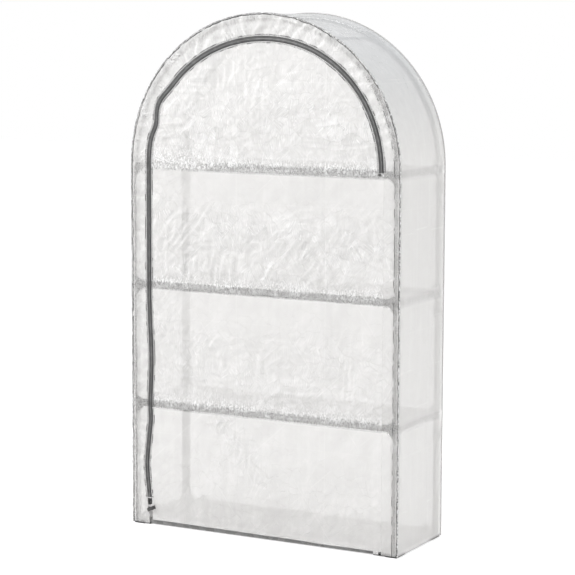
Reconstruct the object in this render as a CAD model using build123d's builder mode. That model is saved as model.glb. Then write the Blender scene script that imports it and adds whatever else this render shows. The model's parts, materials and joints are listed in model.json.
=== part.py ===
"""Arch-topped shelf greenhouse: a galvanised four-shelf rack inside a clear film cover with a zipped front door.

Frame: +Z up, the front faces -Y, +X to the right seen from the front. The origin is on the floor under the
middle of the rack. All lengths are millimetres.
"""

from build123d import *
from math import cos, radians, sin
import os

# ---- driving dimensions --------------------------------------------------------------------------
cover_width = 794.0  # between the inner faces of the two side films
cover_depth = 266.0  # between the inner faces of the front and back films
spring_z = 985.0  # height where the straight sides turn into the half-round top
film = 0.8
frame_gap = 3.5  # from the rack's outer faces to the film
tier_pitch = 323.0
foot_base = 2.5
tiers = ("bottom", "lower", "middle", "top")

# shelves
lip_height = 18.0
shelf_sheet = 1.0
lip_return = 6.0  # inward flange along the bottom of the lip
bead_count = 5
bead_pitch = 42.0
bead_length = 700.0
bead_width = 7.0
bead_depth = 1.5

# legs
leg_sheet = 1.2
leg_flange = 17.0
flare_flange = 29.0  # the flange widens to this at each shelf
flare_drop = 21.0
flare_rise = 12.0
joint_drop = 45.0  # each leg joint sits this far under a shelf lip
joint_gap = 0.4
sleeve_height = 20.0
sleeve_wall = 1.6
sleeve_fit = 0.1
stub_above_shelf = 26.0

# bolts and nuts
bolt_inset = 14.0  # from the rack's corner to a bolt's axis
bolt_radius = 2.4
bolt_hole_radius = 2.6
bolt_head_radius = 4.5
bolt_head = 2.2
bolt_length = 8.0
nut_flats = 8.0
nut_thickness = 3.5
nut_bore_radius = 2.45

# feet
foot_arm = 50.5
foot_wall = 2.0
foot_wall_height = 6.5  # stays under the bolt heads
foot_width = 12.0
strap_slot_depth = 1.6

# arches and cross rods
tube_radius = 7.0
tube_wall = 1.2
tube_fit = 0.3  # between the tube and the inside of the leg
connector_wall = 2.4
connector_half_angle = 3.5
connector_fit = 0.1
rod_radius = 4.0
rod_angles = (60.0, 120.0)
boss_radius = 6.5
boss_length = 24.0
rod_socket_start = 9.0
rod_inset = 10.0
plug_block = 16.0
plug_block_height = 8.0
plug_length_angle = 4.0

# front opening and zipper
zip_radius = 345.0  # the zipper runs up the left side and over the top on this radius
hinge_x = 352.0  # the door folds about this upright line
hinge_gap = 0.15
film_edge = 4.0  # from the zipper's middle line to the edge of each film
tape_width = 11.3
tape_edge = 0.7
tape = 0.6
chain_width = 3.1
chain = 1.6
zip_end_z = 76.0  # lower end of the teeth
cover_hem_z = 3.0
door_hem_z = 15.0
door_notch_x = 337.0  # the door film steps back here, clear of the slider
border_foot_x = 338.5
border_foot_z = 52.0

# slider, link and pull tab
slider_low_z = 56.0
slider_length = 18.0
slider_width = 12.0
slider_plate = 1.7
slider_back_plate = 1.2
slider_back_width = 10.0
slider_gap = 0.3
web_thickness = 0.8
web_height = 6.0
crown_width = 2.4
crown_height = 3.6
crown_length = 12.0
crown_bar = 1.2
crown_leg = 2.0
link_thickness = 1.2
link_width = 8.0
link_pivot_z = 66.0
link_bar = 1.4
link_window_width = 5.2
link_window_height = 14.0
rivet_drop = 23.0
rivet_radius = 0.95
rivet_hole_radius = 1.1
rivet_head_radius = 2.0
rivet_head = 0.6
tab_thickness = 1.5
tab_length = 28.0
tab_width = 10.0
tab_angle = 25.0  # the tab lies this far above level, to the right

# piping, stops and straps
piping_radius = 1.5
piping_offset = 1.1
stop_width = 7.0
stop_height = 5.0
stop_thickness = 2.2
strap_width = 15.0
strap_film = 0.6
strap_low_z = 1.0
strap_top_z = 30.0
strap_tail = 22.0
strap_face_gap = 0.2

# ---- derived places ------------------------------------------------------------------------------
film_x = cover_width / 2
film_y = cover_depth / 2
film_radius = film_x
rack_x = film_x - frame_gap
rack_y = film_y - frame_gap
shelf_x = rack_x - leg_sheet
shelf_y = rack_y - leg_sheet
shelf_levels = [foot_base + tier_pitch * i for i in range(len(tiers))]
joint_levels = [level - joint_drop for level in shelf_levels[1:]]
top_shelf_z = shelf_levels[-1] + lip_height
leg_top_z = top_shelf_z + stub_above_shelf
arch_radius = shelf_x - tube_fit - tube_radius
arch_y = shelf_y - tube_fit - tube_radius
front_face = -(film_y + film)  # outer face of the front film
corners = {
    "front_left": (-1, -1),
    "front_right": (1, -1),
    "back_left": (-1, 1),
    "back_right": (1, 1),
}
finished = []


def keep(builder, name):
    """Labels a finished sub-part and queues it for export."""
    builder.part.label = name
    finished.append(builder.part)


def face_across(side_y, inset=0.0):
    """Sketch plane on the rack's front or back face. Local X is +X and local Y is +Z."""
    return Plane.XZ.offset(-side_y * (rack_y - inset))


def face_along(side_x, inset=0.0):
    """Sketch plane on the rack's left or right face. Local X is +Y and local Y is +Z."""
    return Plane.YZ.offset(side_x * (rack_x - inset))


def corner_angle(side_x, side_y, face, arm, thick, mode=Mode.ADD):
    """An L in plan round one corner of the rack. Its outer faces stand out from the rack by face."""
    out_x, out_y = rack_x + face, rack_y + face
    with Locations((side_x * (out_x - arm / 2), side_y * (out_y - thick / 2))):
        Rectangle(arm, thick, mode=mode)
    with Locations((side_x * (out_x - thick / 2), side_y * (out_y - arm / 2))):
        Rectangle(thick, arm, mode=mode)


# ---- shelves -------------------------------------------------------------------------------------
def shelf(level):
    """A pressed sheet tray: lips turned down and in, five long beads sunk in the top."""
    with BuildPart() as tray:
        with BuildSketch(Plane.XY.offset(level)):
            Rectangle(2 * shelf_x, 2 * shelf_y)
        extrude(amount=lip_height)
        with BuildSketch(Plane.XY.offset(level)):
            Rectangle(2 * (shelf_x - lip_return), 2 * (shelf_y - lip_return))
        extrude(amount=shelf_sheet, mode=Mode.SUBTRACT)
        with BuildSketch(Plane.XY.offset(level + shelf_sheet)):
            Rectangle(2 * (shelf_x - shelf_sheet), 2 * (shelf_y - shelf_sheet))
        extrude(amount=lip_height - 2 * shelf_sheet, mode=Mode.SUBTRACT)
        under = level + lip_height - shelf_sheet
        with BuildSketch(Plane.XY.offset(under)):
            with GridLocations(0, bead_pitch, 1, bead_count):
                SlotOverall(bead_length + 2 * shelf_sheet, bead_width + 2 * shelf_sheet)
        extrude(amount=-bead_depth)
        with BuildSketch(Plane.XY.offset(level + lip_height)):
            with GridLocations(0, bead_pitch, 1, bead_count):
                SlotOverall(bead_length, bead_width)
        extrude(amount=-bead_depth, mode=Mode.SUBTRACT)
        bolt_z = level + lip_height / 2
        with BuildSketch(Plane.XZ.offset(shelf_y)):
            with Locations((0, bolt_z)), GridLocations(2 * (rack_x - bolt_inset), 0, 2, 1):
                Circle(bolt_hole_radius)
        extrude(amount=-2 * shelf_y, mode=Mode.SUBTRACT)
        with BuildSketch(Plane.YZ.offset(-shelf_x)):
            with Locations((0, bolt_z)), GridLocations(2 * (rack_y - bolt_inset), 0, 2, 1):
                Circle(bolt_hole_radius)
        extrude(amount=2 * shelf_x, mode=Mode.SUBTRACT)
    return tray


for tier, tier_z in zip(tiers, shelf_levels):
    keep(shelf(tier_z), f"{tier}_shelf")


# ---- legs ----------------------------------------------------------------------------------------
def flange_outline(corner, side, low, high, level):
    """Outline of one leg flange: straight outer edge, and an inner edge that flares out at the shelf."""
    straight = corner - side * leg_flange
    flared = corner - side * flare_flange
    flare_top = (flared, level + lip_height)
    with BuildLine(Plane.XY) as outline:
        if low < level - flare_drop:
            Line((corner, low), (straight, low))
            Line((straight, low), (straight, level - flare_drop))
            TangentArc((straight, level - flare_drop), (flared, level), tangent=(0, 1))
            Line((flared, level), flare_top)
        else:
            Line((corner, low), (flared, low))
            Line((flared, low), flare_top)
        Line(flare_top, (straight, level + lip_height + flare_rise))
        Line((straight, level + lip_height + flare_rise), (straight, high))
        Line((straight, high), (corner, high))
        Line((corner, high), (corner, low))
    return outline.line


def leg(side_x, side_y, low, high, level):
    """One L-section leg length, bolted to the shelf at level by a bolt through each flange."""
    bolt_z = level + lip_height / 2
    with BuildPart() as section:
        with BuildSketch(face_across(side_y)):
            add(flange_outline(side_x * rack_x, side_x, low, high, level))
            make_face()
            with Locations((side_x * (rack_x - bolt_inset), bolt_z)):
                Circle(bolt_hole_radius, mode=Mode.SUBTRACT)
        extrude(amount=side_y * leg_sheet)
        with BuildSketch(face_along(side_x)):
            add(flange_outline(side_y * rack_y, side_y, low, high, level))
            make_face()
            with Locations((side_y * (rack_y - bolt_inset), bolt_z)):
                Circle(bolt_hole_radius, mode=Mode.SUBTRACT)
        extrude(amount=-side_x * leg_sheet)
    return section


leg_names = ("lower_leg", "middle_leg", "upper_leg", "arch_post")
leg_lows = [foot_base] + [z + joint_gap / 2 for z in joint_levels]
leg_highs = [z - joint_gap / 2 for z in joint_levels] + [leg_top_z]
for corner_name, (sx, sy) in corners.items():
    for leg_name, low_z, high_z, tier_z in zip(leg_names, leg_lows, leg_highs, shelf_levels):
        keep(leg(sx, sy, low_z, high_z, tier_z), f"{corner_name}_{leg_name}")

with BuildPart() as leg_sleeves:
    for joint_z in joint_levels:
        with BuildSketch(Plane.XY.offset(joint_z - sleeve_height / 2)):
            for sx, sy in corners.values():
                outer = sleeve_wall + sleeve_fit
                corner_angle(sx, sy, outer, leg_flange + 2 * outer, leg_sheet + 2 * outer)
                corner_angle(
                    sx,
                    sy,
                    sleeve_fit,
                    leg_flange + 2 * sleeve_fit,
                    leg_sheet + 2 * sleeve_fit,
                    mode=Mode.SUBTRACT,
                )
        extrude(amount=sleeve_height)
keep(leg_sleeves, "leg_sleeves")


# ---- bolts and nuts ------------------------------------------------------------------------------
def bolt_planes():
    """A plane at each bolt, on the rack's outer face, with its normal pointing out of the rack."""
    for level in shelf_levels:
        bolt_z = level + lip_height / 2
        for side_x, side_y in corners.values():
            across = (side_x * (rack_x - bolt_inset), side_y * rack_y, bolt_z)
            along = (side_x * rack_x, side_y * (rack_y - bolt_inset), bolt_z)
            yield Plane(origin=across, z_dir=(0, side_y, 0))
            yield Plane(origin=along, z_dir=(side_x, 0, 0))


with BuildPart() as shelf_bolts:
    with Locations(*[Location(plane) for plane in bolt_planes()]):
        Cylinder(bolt_head_radius, bolt_head, align=(Align.CENTER, Align.CENTER, Align.MIN))
        Cylinder(bolt_radius, bolt_length, align=(Align.CENTER, Align.CENTER, Align.MAX))
keep(shelf_bolts, "shelf_bolts")

with BuildPart() as shelf_nuts:
    for plane in bolt_planes():
        with BuildSketch(plane.offset(-(leg_sheet + shelf_sheet))):
            RegularPolygon(nut_flats / 2, 6, major_radius=False)
            Circle(nut_bore_radius, mode=Mode.SUBTRACT)
        extrude(amount=-nut_thickness)
keep(shelf_nuts, "shelf_nuts")


# ---- feet ----------------------------------------------------------------------------------------
def foot(side_x, side_y):
    """An L-shaped plastic channel that clips up under the bottom shelf's corner."""
    with BuildPart() as channel:
        with BuildSketch(Plane.XY):
            corner_angle(side_x, side_y, foot_wall, foot_arm, foot_width + foot_wall)
        extrude(amount=foot_base)
        with BuildSketch(Plane.XY.offset(foot_base)):
            corner_angle(side_x, side_y, foot_wall, foot_arm, foot_wall)
            corner_angle(side_x, side_y, foot_wall - foot_width, foot_arm - foot_width, foot_wall)
        extrude(amount=foot_wall_height - foot_base)
        slot_x = side_x * (rack_x + foot_wall - foot_arm + strap_width / 2 + foot_wall)
        with Locations((slot_x, side_y * (rack_y - foot_width / 2), 0)):
            Box(
                strap_width + 2 * foot_wall,
                4 * foot_width,
                2 * strap_slot_depth,
                mode=Mode.SUBTRACT,
            )
    return channel


for corner_name, (sx, sy) in corners.items():
    keep(foot(sx, sy), f"{corner_name}_foot")


# ---- arches --------------------------------------------------------------------------------------
def arch_plane(angle, y):
    """Plane across an arch at angle from +X. Local X points outwards along the radius, local Y is +Y."""
    a = radians(angle)
    return Plane(origin=(0, y, spring_z), x_dir=(cos(a), 0, sin(a)), z_dir=(-sin(a), 0, cos(a)))


def arch_sweep(radius, inner_radius, y, start, span, mode=Mode.ADD):
    """A round bar or tube bent on the arch's radius, from start over span degrees."""
    with BuildSketch(arch_plane(start, y)) as section:
        with Locations((arch_radius, 0)):
            Circle(radius)
            if inner_radius:
                Circle(inner_radius, mode=Mode.SUBTRACT)
    turn = Axis((0, y, spring_z), (0, -1, 0))
    revolve(section.sketch, axis=turn, revolution_arc=span, mode=mode)


seat_angle = 1.95  # the tube's end stands on the plug's block at this angle
butt_gap_angle = 0.1
section_angles = {
    "right": (seat_angle, rod_angles[0] - butt_gap_angle),
    "middle": (rod_angles[0] + butt_gap_angle, rod_angles[1] - butt_gap_angle),
    "left": (rod_angles[1] + butt_gap_angle, 180 - seat_angle),
}
for row, row_y in (("front", -arch_y), ("back", arch_y)):
    for part_of_arch, (start_angle, end_angle) in section_angles.items():
        with BuildPart() as arch_tube:
            arch_sweep(
                tube_radius,
                tube_radius - tube_wall,
                row_y,
                start_angle,
                end_angle - start_angle,
            )
        keep(arch_tube, f"{row}_arch_{part_of_arch}")


def arch_connector(side_y, angle):
    """A sleeve that joins two arch tubes, with a boss towards the other arch for the cross rod."""
    centre_y = side_y * arch_y
    low = angle - connector_half_angle
    bore = tube_radius + connector_fit
    a = radians(angle)
    joint = (arch_radius * cos(a), centre_y, spring_z + arch_radius * sin(a))
    inwards = Plane(origin=joint, z_dir=(0, -side_y, 0))
    with BuildPart() as sleeve:
        arch_sweep(bore + connector_wall, 0, centre_y, low, 2 * connector_half_angle)
        with BuildSketch(inwards):
            Circle(boss_radius)
        extrude(amount=boss_length)
        arch_sweep(bore, 0, centre_y, low - 1, 2 * connector_half_angle + 2, mode=Mode.SUBTRACT)
        with BuildSketch(inwards.offset(rod_socket_start)):
            Circle(rod_radius + connector_fit)
        extrude(amount=boss_length, mode=Mode.SUBTRACT)
    return sleeve.part


with BuildPart() as arch_connectors:
    for side_y in (-1, 1):
        for rod_angle in rod_angles:
            add(arch_connector(side_y, rod_angle))
keep(arch_connectors, "arch_connectors")

for rod_name, rod_angle in zip(("right", "left"), rod_angles):
    rod_x = arch_radius * cos(radians(rod_angle))
    rod_z = spring_z + arch_radius * sin(radians(rod_angle))
    rod_reach = arch_y - rod_inset
    with BuildPart() as cross_rod:
        with BuildSketch(Plane.XZ.offset(-rod_reach)):
            with Locations((rod_x, rod_z)):
                Circle(rod_radius)
        extrude(amount=2 * rod_reach)
        chamfer(cross_rod.edges().filter_by(GeomType.CIRCLE), 0.5)
    keep(cross_rod, f"{rod_name}_cross_rod")

with BuildPart() as arch_plugs:
    for sx, sy in corners.values():
        block_x = sx * (shelf_x - plug_block / 2)
        block_y = sy * (shelf_y - plug_block / 2)
        with BuildSketch(Plane.XY.offset(top_shelf_z)):
            with Locations((block_x, block_y)):
                Rectangle(plug_block, plug_block)
        extrude(amount=plug_block_height)
        peg_start = seat_angle - 0.3 if sx > 0 else 180 - seat_angle - plug_length_angle
        arch_sweep(
            tube_radius - tube_wall - connector_fit,
            0,
            sy * arch_y,
            peg_start,
            plug_length_angle + 0.3,
        )
keep(arch_plugs, "arch_plugs")


# ---- cover film ----------------------------------------------------------------------------------
def arch_outline(radius, low):
    """Closed outline of a panel: straight sides on radius up to the spring line, half-round above."""
    with BuildLine(Plane.XY) as outline:
        Line((-radius, spring_z), (-radius, low))
        Line((-radius, low), (radius, low))
        Line((radius, low), (radius, spring_z))
        RadiusArc((radius, spring_z), (-radius, spring_z), -radius)
    return outline.line


outer_radius = film_radius + film
with BuildPart() as back_panel:
    with BuildSketch(Plane.XZ.offset(-film_y)):
        add(arch_outline(outer_radius, cover_hem_z))
        make_face()
    extrude(amount=-film)
keep(back_panel, "back_panel")

for side_name, sx in (("left", -1), ("right", 1)):
    with BuildPart() as side_panel:
        with BuildSketch(Plane.YZ.offset(sx * film_x)):
            with Locations((0, (spring_z + cover_hem_z) / 2)):
                Rectangle(cover_depth, spring_z - cover_hem_z)
        extrude(amount=sx * film)
    keep(side_panel, f"{side_name}_side_panel")

with BuildPart() as roof_panel:
    with BuildSketch(Plane.XY.offset(spring_z)):
        with Locations((film_radius + film / 2, 0)):
            Rectangle(film, cover_depth)
    revolve(axis=Axis((0, 0, spring_z), (0, -1, 0)), revolution_arc=180)
keep(roof_panel, "roof_panel")

border_edge = zip_radius + film_edge
with BuildPart() as front_panel:
    with BuildSketch(Plane.XZ.offset(film_y)):
        add(arch_outline(outer_radius, cover_hem_z))
        make_face()
        with BuildLine():
            Polyline(
                (-border_edge, spring_z),
                (-border_edge, border_foot_z),
                (-border_foot_x, border_foot_z),
                (-border_foot_x, 0),
                (hinge_x + hinge_gap, 0),
                (hinge_x + hinge_gap, spring_z),
                (border_edge, spring_z),
            )
            RadiusArc((border_edge, spring_z), (-border_edge, spring_z), -border_edge)
        make_face(mode=Mode.SUBTRACT)
    extrude(amount=film)
keep(front_panel, "front_panel")

door_edge = zip_radius - film_edge
with BuildPart() as door_panel:
    with BuildSketch(Plane.XZ.offset(film_y)):
        with BuildLine():
            Polyline(
                (-door_edge, spring_z),
                (-door_edge, zip_end_z),
                (-door_notch_x, zip_end_z),
                (-door_notch_x, door_hem_z),
                (hinge_x - hinge_gap, door_hem_z),
                (hinge_x - hinge_gap, spring_z),
                (door_edge, spring_z),
            )
            RadiusArc((door_edge, spring_z), (-door_edge, spring_z), -door_edge)
        make_face()
    extrude(amount=film)
keep(door_panel, "door_panel")

# a round cord sewn along the outline of the front and of the back film
piping_path_radius = outer_radius + piping_offset
for row, sy in (("front", -1), ("back", 1)):
    piping_y = sy * (film_y + film + piping_offset)
    with BuildPart() as piping:
        for sx in (-1, 1):
            with BuildSketch(Plane.XY.offset(cover_hem_z)):
                with Locations((sx * piping_path_radius, piping_y)):
                    Circle(piping_radius)
            extrude(amount=spring_z - cover_hem_z)
        with BuildSketch(Plane.XY.offset(spring_z)):
            with Locations((piping_path_radius, piping_y)):
                Circle(piping_radius)
        revolve(axis=Axis((0, piping_y, spring_z), (0, -1, 0)), revolution_arc=180)
    keep(piping, f"{row}_piping")


# ---- zipper --------------------------------------------------------------------------------------
def zip_band(inner, outer, thickness, back):
    """A band along the zipper: up the left side from the end of the teeth, then over the arch."""
    with BuildPart() as band:
        with BuildSketch(Plane.XZ.offset(back)):
            with BuildLine():
                Line((-inner, zip_end_z), (-outer, zip_end_z))
                Line((-outer, zip_end_z), (-outer, spring_z))
                RadiusArc((-outer, spring_z), (outer, spring_z), outer)
                Line((outer, spring_z), (inner, spring_z))
                RadiusArc((inner, spring_z), (-inner, spring_z), -inner)
                Line((-inner, spring_z), (-inner, zip_end_z))
            make_face()
        extrude(amount=thickness)
    return band


door_side = zip_radius - tape_edge
cover_side = zip_radius + tape_edge
tape_back = -front_face
chain_back = tape_back + tape
keep(zip_band(door_side - tape_width, door_side, tape, tape_back), "door_zip_tape")
keep(zip_band(cover_side, cover_side + tape_width, tape, tape_back), "cover_zip_tape")
keep(zip_band(door_side - chain_width, door_side, chain, chain_back), "door_zip_teeth")
keep(zip_band(cover_side, cover_side + chain_width, chain, chain_back), "cover_zip_teeth")


def zip_stop(x, z):
    """A small block crimped across the end of the teeth."""
    with BuildPart() as stop:
        with BuildSketch(Plane.XZ.offset(tape_back)):
            with Locations((x, z)):
                RectangleRounded(stop_width, stop_height, 1.0)
        extrude(amount=stop_thickness)
    return stop


keep(zip_stop(-zip_radius, border_foot_z - stop_height), "zip_bottom_stop")
keep(zip_stop(door_side - stop_width / 2, spring_z - stop_height), "zip_top_stop")

# the slider: a front and a back plate joined by a thin web at its open end, and a crown for the link
plate_back = chain_back + chain + slider_gap
plate_front = plate_back + slider_plate
slider_middle_z = slider_low_z + slider_length / 2
with BuildPart() as slider_body:
    with BuildSketch(Plane.XZ.offset(plate_back)):
        with Locations((-zip_radius, slider_middle_z)):
            RectangleRounded(slider_width, slider_length, 3.0)
    extrude(amount=slider_plate)
    back_plate_front = film_y - slider_gap
    with BuildSketch(Plane.XZ.offset(back_plate_front)):
        with Locations((-zip_radius, slider_middle_z)):
            RectangleRounded(slider_back_width, slider_length, 3.0)
    extrude(amount=-slider_back_plate)
    web_z = slider_low_z + web_height / 2
    with BuildSketch(Plane.XZ.offset(back_plate_front)):
        with Locations((-zip_radius, web_z)):
            Rectangle(web_thickness, web_height)
    extrude(amount=plate_back - back_plate_front)
    crown_z = link_pivot_z - link_bar / 2
    with BuildSketch(Plane.YZ.offset(-zip_radius - crown_width / 2)):
        with Locations((-(plate_front + crown_height / 2), crown_z)):
            Rectangle(crown_height, crown_length)
        with Locations((-(plate_front + (crown_height - crown_bar) / 2), crown_z)):
            Rectangle(crown_height - crown_bar, crown_length - 2 * crown_leg, mode=Mode.SUBTRACT)
    extrude(amount=crown_width)
keep(slider_body, "zip_slider_body")

link_back = plate_front + (crown_height - crown_bar - link_thickness) / 2
rivet_z = link_pivot_z - rivet_drop
with BuildPart() as pull_link:
    link_top = link_pivot_z + link_bar / 2
    link_low = rivet_z - link_width / 2
    with BuildSketch(Plane.XZ.offset(link_back)):
        with Locations((-zip_radius, (link_top + rivet_z) / 2)):
            Rectangle(link_width, link_top - rivet_z)
        with Locations((-zip_radius, rivet_z)):
            Circle(link_width / 2)
        window_z = link_pivot_z - link_bar / 2 - link_window_height / 2
        with Locations((-zip_radius, window_z)):
            Rectangle(link_window_width, link_window_height, mode=Mode.SUBTRACT)
        with Locations((-zip_radius, rivet_z)):
            Circle(rivet_hole_radius, mode=Mode.SUBTRACT)
    extrude(amount=link_thickness)
keep(pull_link, "pull_link")

tab_back = link_back + link_thickness + slider_gap
tab_plane = Plane(
    origin=(-zip_radius, -tab_back, rivet_z),
    x_dir=(cos(radians(tab_angle)), 0, sin(radians(tab_angle))),
    z_dir=(0, -1, 0),
)
with BuildPart() as pull_tab:
    with BuildSketch(tab_plane):
        with Locations((tab_length / 2 - tab_width / 2, 0)):
            RectangleRounded(tab_length, tab_width, 2.5)
        Circle(rivet_radius, mode=Mode.SUBTRACT)
    extrude(amount=tab_thickness)
    chamfer(pull_tab.faces().sort_by(Axis.Y).first.outer_wire().edges(), 0.3)
keep(pull_tab, "pull_tab")

rivet_axis_plane = Plane(origin=(-zip_radius, -tab_back, rivet_z), z_dir=(0, -1, 0))
with BuildPart() as pull_rivet:
    with BuildSketch(rivet_axis_plane.offset(-(slider_gap + link_thickness + slider_gap))):
        Circle(rivet_radius)
    extrude(amount=2 * slider_gap + link_thickness + tab_thickness)
    with BuildSketch(rivet_axis_plane.offset(tab_thickness)):
        Circle(rivet_head_radius)
    extrude(amount=rivet_head)
keep(pull_rivet, "pull_rivet")


# ---- hem straps ----------------------------------------------------------------------------------
def hem_strap(middle_x, side_y):
    """A film strap sewn inside the hem that hooks in under the bottom shelf's lip."""
    outer = film_y - strap_face_gap
    with BuildPart() as strap:
        with BuildSketch(Plane.YZ.offset(middle_x - strap_width / 2)):
            with Locations((side_y * (outer - strap_film / 2), (strap_low_z + strap_top_z) / 2)):
                Rectangle(strap_film, strap_top_z - strap_low_z)
            with Locations((side_y * (outer - strap_tail / 2), strap_low_z + strap_film / 2)):
                Rectangle(strap_tail, strap_film)
        extrude(amount=strap_width)
    return strap


foot_end_x = rack_x + foot_wall - foot_arm
strap_over_foot = foot_end_x + foot_wall + strap_width / 2
strap_beside_foot = foot_end_x - foot_wall / 2 - strap_width / 2
keep(hem_strap(-strap_over_foot, -1), "front_left_strap")
keep(hem_strap(strap_beside_foot, -1), "front_right_strap")
keep(hem_strap(-strap_beside_foot, 1), "back_left_strap")
keep(hem_strap(strap_over_foot, 1), "back_right_strap")

# ---- export --------------------------------------------------------------------------------------
os.makedirs("parts", exist_ok=True)
for piece in finished:
    export_step(piece, f"parts/{piece.label}.step")
print(len(finished), "nodes written")
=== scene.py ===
# %% [markdown]
# # A shelf greenhouse under a clear film cover
# The real object is a galvanised steel rack with four shelves and two half-round tube arches. A fitted
# cover of clear film hangs over it, and a zipper opens the front. The steel comes from the CAD frame as it
# is. The film, the zipper and the straps are soft or finely detailed, so they are modelled here around that
# frame.

# %% Load the CAD frame
import json
from math import atan2, cos, exp, hypot, pi, radians, sin

import bmesh
import bpy
from mathutils import Matrix, Vector, noise


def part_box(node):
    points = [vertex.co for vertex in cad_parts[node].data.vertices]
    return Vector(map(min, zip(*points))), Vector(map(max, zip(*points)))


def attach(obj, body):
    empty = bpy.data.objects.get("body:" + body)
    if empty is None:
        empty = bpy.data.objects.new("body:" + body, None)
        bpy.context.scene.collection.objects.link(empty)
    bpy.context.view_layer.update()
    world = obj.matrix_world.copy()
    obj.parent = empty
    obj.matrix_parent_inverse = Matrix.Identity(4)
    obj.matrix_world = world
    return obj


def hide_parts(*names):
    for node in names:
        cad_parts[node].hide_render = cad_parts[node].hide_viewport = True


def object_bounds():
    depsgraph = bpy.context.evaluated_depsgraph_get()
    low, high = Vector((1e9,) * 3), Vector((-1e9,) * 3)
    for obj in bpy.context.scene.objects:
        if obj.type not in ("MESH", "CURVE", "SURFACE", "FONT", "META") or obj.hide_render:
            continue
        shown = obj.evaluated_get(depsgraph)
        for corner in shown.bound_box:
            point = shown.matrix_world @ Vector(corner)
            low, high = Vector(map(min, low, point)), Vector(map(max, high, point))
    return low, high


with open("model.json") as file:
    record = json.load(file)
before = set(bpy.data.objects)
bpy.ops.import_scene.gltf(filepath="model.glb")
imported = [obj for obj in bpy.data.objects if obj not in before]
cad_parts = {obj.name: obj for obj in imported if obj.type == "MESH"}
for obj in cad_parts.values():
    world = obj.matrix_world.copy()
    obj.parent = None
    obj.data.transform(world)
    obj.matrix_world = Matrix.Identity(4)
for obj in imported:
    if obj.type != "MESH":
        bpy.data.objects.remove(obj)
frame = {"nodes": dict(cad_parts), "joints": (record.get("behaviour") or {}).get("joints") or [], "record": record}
nodes = frame["nodes"]
cad_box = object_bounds()
print("CAD box", [tuple(round(c, 4) for c in corner) for corner in cad_box])

# %% [markdown]
# Every size below is read from the frame or is a small finishing size of its own. The spring line is the
# height where the straight sides turn into the arch, and the zipper runs at one radius about that line's
# middle.

# %% Places read from the frame
MM = 0.001
border_low, border_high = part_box("front_panel")
door_low, door_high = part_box("door_panel")
back_low, back_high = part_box("back_panel")
roof_low, roof_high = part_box("roof_panel")
slider_low, slider_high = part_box("zip_slider_body")
tape_low, tape_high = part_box("cover_zip_tape")

spring_z = roof_low.z
film_radius = border_high.x
film_half_depth = back_high.y
front_y = border_low.y
zip_radius = -(slider_low.x + slider_high.x) / 2
zip_low = tape_low.z
hem_z = border_low.z
hinge_x = next(joint["pos_m"][0] for joint in frame["joints"] if joint["name"] == "door_swing")
tiers = ("bottom_shelf", "lower_shelf", "middle_shelf", "top_shelf")
shelf_boxes = [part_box(name) for name in tiers]
print("spring line", spring_z, "zipper radius", zip_radius, "hinge", hinge_x)

# %% [markdown]
# ## Materials
# The finishes share a few patterns, so each pattern is a node group with its own inputs: a crumple for
# film, a fine grain for plastics and paint, and the crystal pattern that hot zinc leaves on sheet steel.

# %% Node helpers


class Graph:
    """Short ways to add nodes to a material or a group and to join them."""

    def __init__(self, tree):
        self.tree = tree

    def node(self, kind, values=None, **settings):
        made = self.tree.nodes.new(kind)
        for name, value in settings.items():
            setattr(made, name, value)
        for name, value in (values or {}).items():
            self.feed(made.inputs[name], value)
        return made

    def feed(self, socket, value):
        if isinstance(value, bpy.types.NodeSocket):
            self.tree.links.new(value, socket)
        else:
            socket.default_value = value

    def math(self, operation, a, b, clamp=False):
        made = self.node("ShaderNodeMath", operation=operation, use_clamp=clamp)
        self.feed(made.inputs[0], a)
        self.feed(made.inputs[1], b)
        return made.outputs[0]

    def times(self, a, b, clamp=False):
        return self.math("MULTIPLY", a, b, clamp)

    def plus(self, a, b, clamp=False):
        return self.math("ADD", a, b, clamp)

    def minus(self, a, b):
        return self.math("SUBTRACT", a, b)

    def larger(self, a, b, clamp=False):
        return self.math("MAXIMUM", a, b, clamp)

    def vector(self, operation, a, b):
        made = self.node("ShaderNodeVectorMath", operation=operation)
        self.feed(made.inputs[0], a)
        self.feed(made.inputs["Scale" if operation == "SCALE" else 1], b)
        return made.outputs[0]

    def spread(self, value, low, high, to_low, to_high, kind="SMOOTHSTEP"):
        """Map Range: turns values from low to high into to_low to to_high."""
        names = ("Value", "From Min", "From Max", "To Min", "To Max")
        values = dict(zip(names, (value, low, high, to_low, to_high)))
        return self.node("ShaderNodeMapRange", values, interpolation_type=kind).outputs["Result"]

    def colour(self, factor, dark, light):
        made = self.node("ShaderNodeMix", data_type="RGBA")
        self.feed(made.inputs["Factor"], factor)
        self.feed(made.inputs[6], dark)
        self.feed(made.inputs[7], light)
        return made.outputs[2]

    def noise(self, where, scale, detail=2.0, distortion=0.0):
        values = {"Vector": where, "Scale": scale, "Detail": detail, "Distortion": distortion}
        return self.node("ShaderNodeTexNoise", values).outputs

    def split(self, vector):
        return self.node("ShaderNodeSeparateXYZ", {"Vector": vector}).outputs

    def channels(self, colour):
        return self.node("ShaderNodeSeparateColor", {"Color": colour}).outputs

    def place(self, scale=(1, 1, 1)):
        """Object coordinates in metres, stretched by scale."""
        where = self.node("ShaderNodeTexCoord").outputs["Object"]
        return self.node("ShaderNodeMapping", {"Vector": where, "Scale": scale}).outputs[0]

    def run(self):
        """The UV map of a piece that follows the arch: U along it and V across it, in metres."""
        return self.node("ShaderNodeUVMap", uv_map="run").outputs[0]

    def pattern(self, group, **values):
        return self.node("ShaderNodeGroup", values, node_tree=group.tree).outputs

    def bump(self, height, strength, distance):
        values = {"Height": height, "Strength": strength, "Distance": distance}
        return self.node("ShaderNodeBump", values).outputs[0]

    def dress(self, **looks):
        """Sets or joins the shader's sockets and gives the material back."""
        for socket, value in looks.items():
            self.feed(self.shader.inputs[socket.replace("_", " ")], value)
        return self.material


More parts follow.
